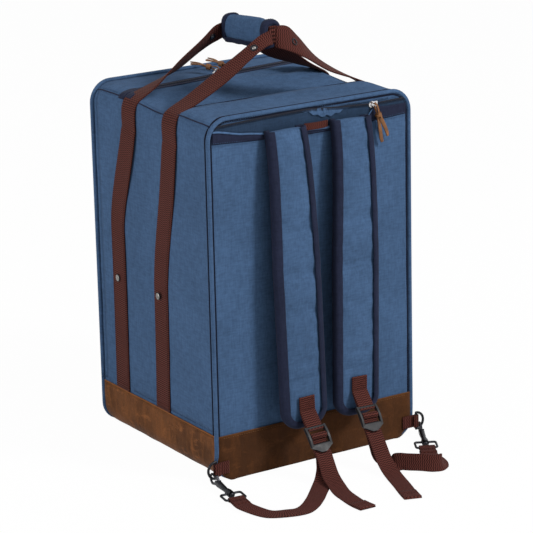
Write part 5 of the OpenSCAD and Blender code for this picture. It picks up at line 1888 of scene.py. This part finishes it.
def white_sky(strength):
    """An even pale light all round, in front of a white backdrop."""
    r = Recipe("studio", world=True)
    sky = r.node("ShaderNodeBackground", None, {"Color": (0.96, 0.98, 1.0, 1), "Strength": strength})
    white = r.node("ShaderNodeBackground", None, {"Color": (1, 1, 1, 1), "Strength": 1.0})
    return r.show(r.node("ShaderNodeMixShader", None, {0: seen_rays(r), 1: sky, 2: white}))


def area_lamp(name, place, target, power, size):
    """A square soft lamp that looks at a target."""
    lamp = bpy.data.lights.new(name, "AREA")
    lamp.energy = power
    lamp.shape = "SQUARE"
    lamp.size = size
    obj = bpy.data.objects.new(name, lamp)
    bpy.context.scene.collection.objects.link(obj)
    obj.location = place
    obj.rotation_euler = (Vector(target) - Vector(place)).to_track_quat("-Z", "Y").to_euler()


def build_stage():
    """The floor, the sky, the lamps and the camera."""
    stage = bpy.context.scene.carry_bag_stage
    verts, faces = [], []
    rings = [[Vector((math.cos(a) * r, math.sin(a) * r, FLOOR_Z)) / MM for a in turn_angles(48)]
             for r in (0.0001, 0.6, 2.0, 7.0, 30.0)]
    sweep(verts, faces, rings, caps=False)
    FINISHES["floor"] = pale_floor(stage.floor, stage.veil)
    add_object("floor", verts, faces, "floor")
    bpy.context.scene.world = white_sky(stage.sky)
    area_lamp("key_lamp", (1.35, -2.6, 2.45), (0, 0, 0.25), stage.key, 0.7)
    area_lamp("top_lamp", (0.3, -1.3, 2.5), (0, 0, 0.4), stage.top, 0.8)
    area_lamp("fill_lamp", (-3.2, 0.4, 1.3), (0, 0, 0.25), stage.fill, 1.6)
    yaw, pitch, roll = VIEW_YAW, VIEW_PITCH, VIEW_ROLL
    f = Vector((math.sin(yaw) * math.cos(pitch), math.cos(yaw) * math.cos(pitch), -math.sin(pitch)))
    right = Vector((math.cos(yaw), -math.sin(yaw), 0))
    up = right.cross(f)
    x_axis = right * math.cos(roll) + up * math.sin(roll)
    y_axis = -right * math.sin(roll) + up * math.cos(roll)
    place = Vector((0, 0.006, 0.250)) - f * VIEW_FAR + x_axis * 0.0233 - y_axis * 0.010
    lens = bpy.data.cameras.new("camera")
    lens.sensor_width = 36
    lens.lens = stage.lens
    camera = bpy.data.objects.new("camera", lens)
    turn = Matrix((x_axis, y_axis, -f)).transposed().to_4x4()
    camera.matrix_world = Matrix.Translation(place) @ turn
    bpy.context.scene.collection.objects.link(camera)
    bpy.context.scene.camera = camera
    bpy.context.scene.view_settings.view_transform = "Standard"


# ---------- operators and panel ----------

class CARRYBAG_OT_finishes(bpy.types.Operator):
    """Makes the cloth, leather, metal and plastic finishes"""

    bl_idname = "carrybag.finishes"
    bl_label = "Finishes"

    def execute(self, context):
        make_finishes()
        return {"FINISHED"}


class CARRYBAG_OT_walls(bpy.types.Operator):
    """Builds the padded walls of the bag and its front door"""

    bl_idname = "carrybag.walls"
    bl_label = "Walls and Door"

    def execute(self, context):
        build_body()
        build_door()
        return {"FINISHED"}


class CARRYBAG_OT_piping(bpy.types.Operator):
    """Builds the piping and the seams along the top"""

    bl_idname = "carrybag.piping"
    bl_label = "Piping and Seams"

    def execute(self, context):
        build_piping()
        return {"FINISHED"}


class CARRYBAG_OT_suede(bpy.types.Operator):
    """Builds the suede band round the base"""

    bl_idname = "carrybag.suede"
    bl_label = "Suede Base"

    def execute(self, context):
        build_suede()
        return {"FINISHED"}


class CARRYBAG_OT_zips(bpy.types.Operator):
    """Builds the tapes and coils of the main zip"""

    bl_idname = "carrybag.zips"
    bl_label = "Main Zip"

    def execute(self, context):
        build_zips()
        return {"FINISHED"}


class CARRYBAG_OT_pocket(bpy.types.Operator):
    """Builds the back pocket's band, open lip, coil and haul loop"""

    bl_idname = "carrybag.pocket"
    bl_label = "Back Pocket"

    def execute(self, context):
        build_pocket()
        return {"FINISHED"}


class CARRYBAG_OT_handle(bpy.types.Operator):
    """Builds the handle's webbing legs and its padded grip"""

    bl_idname = "carrybag.handle"
    bl_label = "Carry Handle"

    def execute(self, context):
        build_handle()
        build_grip()
        return {"FINISHED"}


class CARRYBAG_OT_pads(bpy.types.Operator):
    """Builds the two shoulder pads with their bindings"""

    bl_idname = "carrybag.pads"
    bl_label = "Shoulder Pads"

    def execute(self, context):
        build_pads()
        return {"FINISHED"}


class CARRYBAG_OT_shoulder_webs(bpy.types.Operator):
    """Builds the webbing from the pads through the buckles to the hooks"""

    bl_idname = "carrybag.shoulder_webs"
    bl_label = "Shoulder Webbing"

    def execute(self, context):
        build_shoulder_webs()
        return {"FINISHED"}


class CARRYBAG_OT_pulls(bpy.types.Operator):
    """Builds the knotted leather pulls on the three sliders"""

    bl_idname = "carrybag.pulls"
    bl_label = "Leather Pulls"

    def execute(self, context):
        build_pulls()
        return {"FINISHED"}


class CARRYBAG_OT_hardware(bpy.types.Operator):
    """Finishes the buckles, rings, hooks, sliders and rivets"""

    bl_idname = "carrybag.hardware"
    bl_label = "Hardware"

    def execute(self, context):
        build_hardware()
        return {"FINISHED"}


class CARRYBAG_OT_stage(bpy.types.Operator):
    """Sets up the floor, the lamps and the camera"""

    bl_idname = "carrybag.stage"
    bl_label = "Stage"

    def execute(self, context):
        build_stage()
        return {"FINISHED"}


class CARRYBAG_PT_panel(bpy.types.Panel):
    """Sizes, colours and pieces of the carry bag"""

    bl_idname = "CARRYBAG_PT_panel"
    bl_label = "Carry Bag"
    bl_space_type = "VIEW_3D"
    bl_region_type = "UI"
    bl_category = "Carry Bag"

    def draw(self, context):
        layout = self.layout
        for group in ("carry_bag_sizes", "carry_bag_colours", "carry_bag_stage"):
            box = layout.box()
            settings = getattr(context.scene, group)
            for name in settings.__annotations__:
                box.prop(settings, name)
        column = layout.column(align=True)
        for step in STEPS:
            column.operator(step.bl_idname)


STEPS = (CARRYBAG_OT_finishes, CARRYBAG_OT_stage, CARRYBAG_OT_walls, CARRYBAG_OT_piping, CARRYBAG_OT_suede,
         CARRYBAG_OT_zips, CARRYBAG_OT_pocket, CARRYBAG_OT_handle, CARRYBAG_OT_pads,
         CARRYBAG_OT_shoulder_webs, CARRYBAG_OT_pulls, CARRYBAG_OT_hardware)
GROUPS = {
    "carry_bag_sizes": CarryBagSizes,
    "carry_bag_colours": CarryBagColours,
    "carry_bag_stage": CarryBagStage,
}


def register():
    for group in GROUPS.values():
        bpy.utils.register_class(group)
    for name, group in GROUPS.items():
        setattr(bpy.types.Scene, name, bpy.props.PointerProperty(type=group))
    for step in STEPS:
        bpy.utils.register_class(step)
    bpy.utils.register_class(CARRYBAG_PT_panel)


def unregister():
    bpy.utils.unregister_class(CARRYBAG_PT_panel)
    for step in reversed(STEPS):
        bpy.utils.unregister_class(step)
    for name, group in GROUPS.items():
        delattr(bpy.types.Scene, name)
        bpy.utils.unregister_class(group)


def main():
    register()
    for step in STEPS:
        area, name = step.bl_idname.split(".")
        getattr(getattr(bpy.ops, area), name)()


if __name__ == "__main__":
    main()
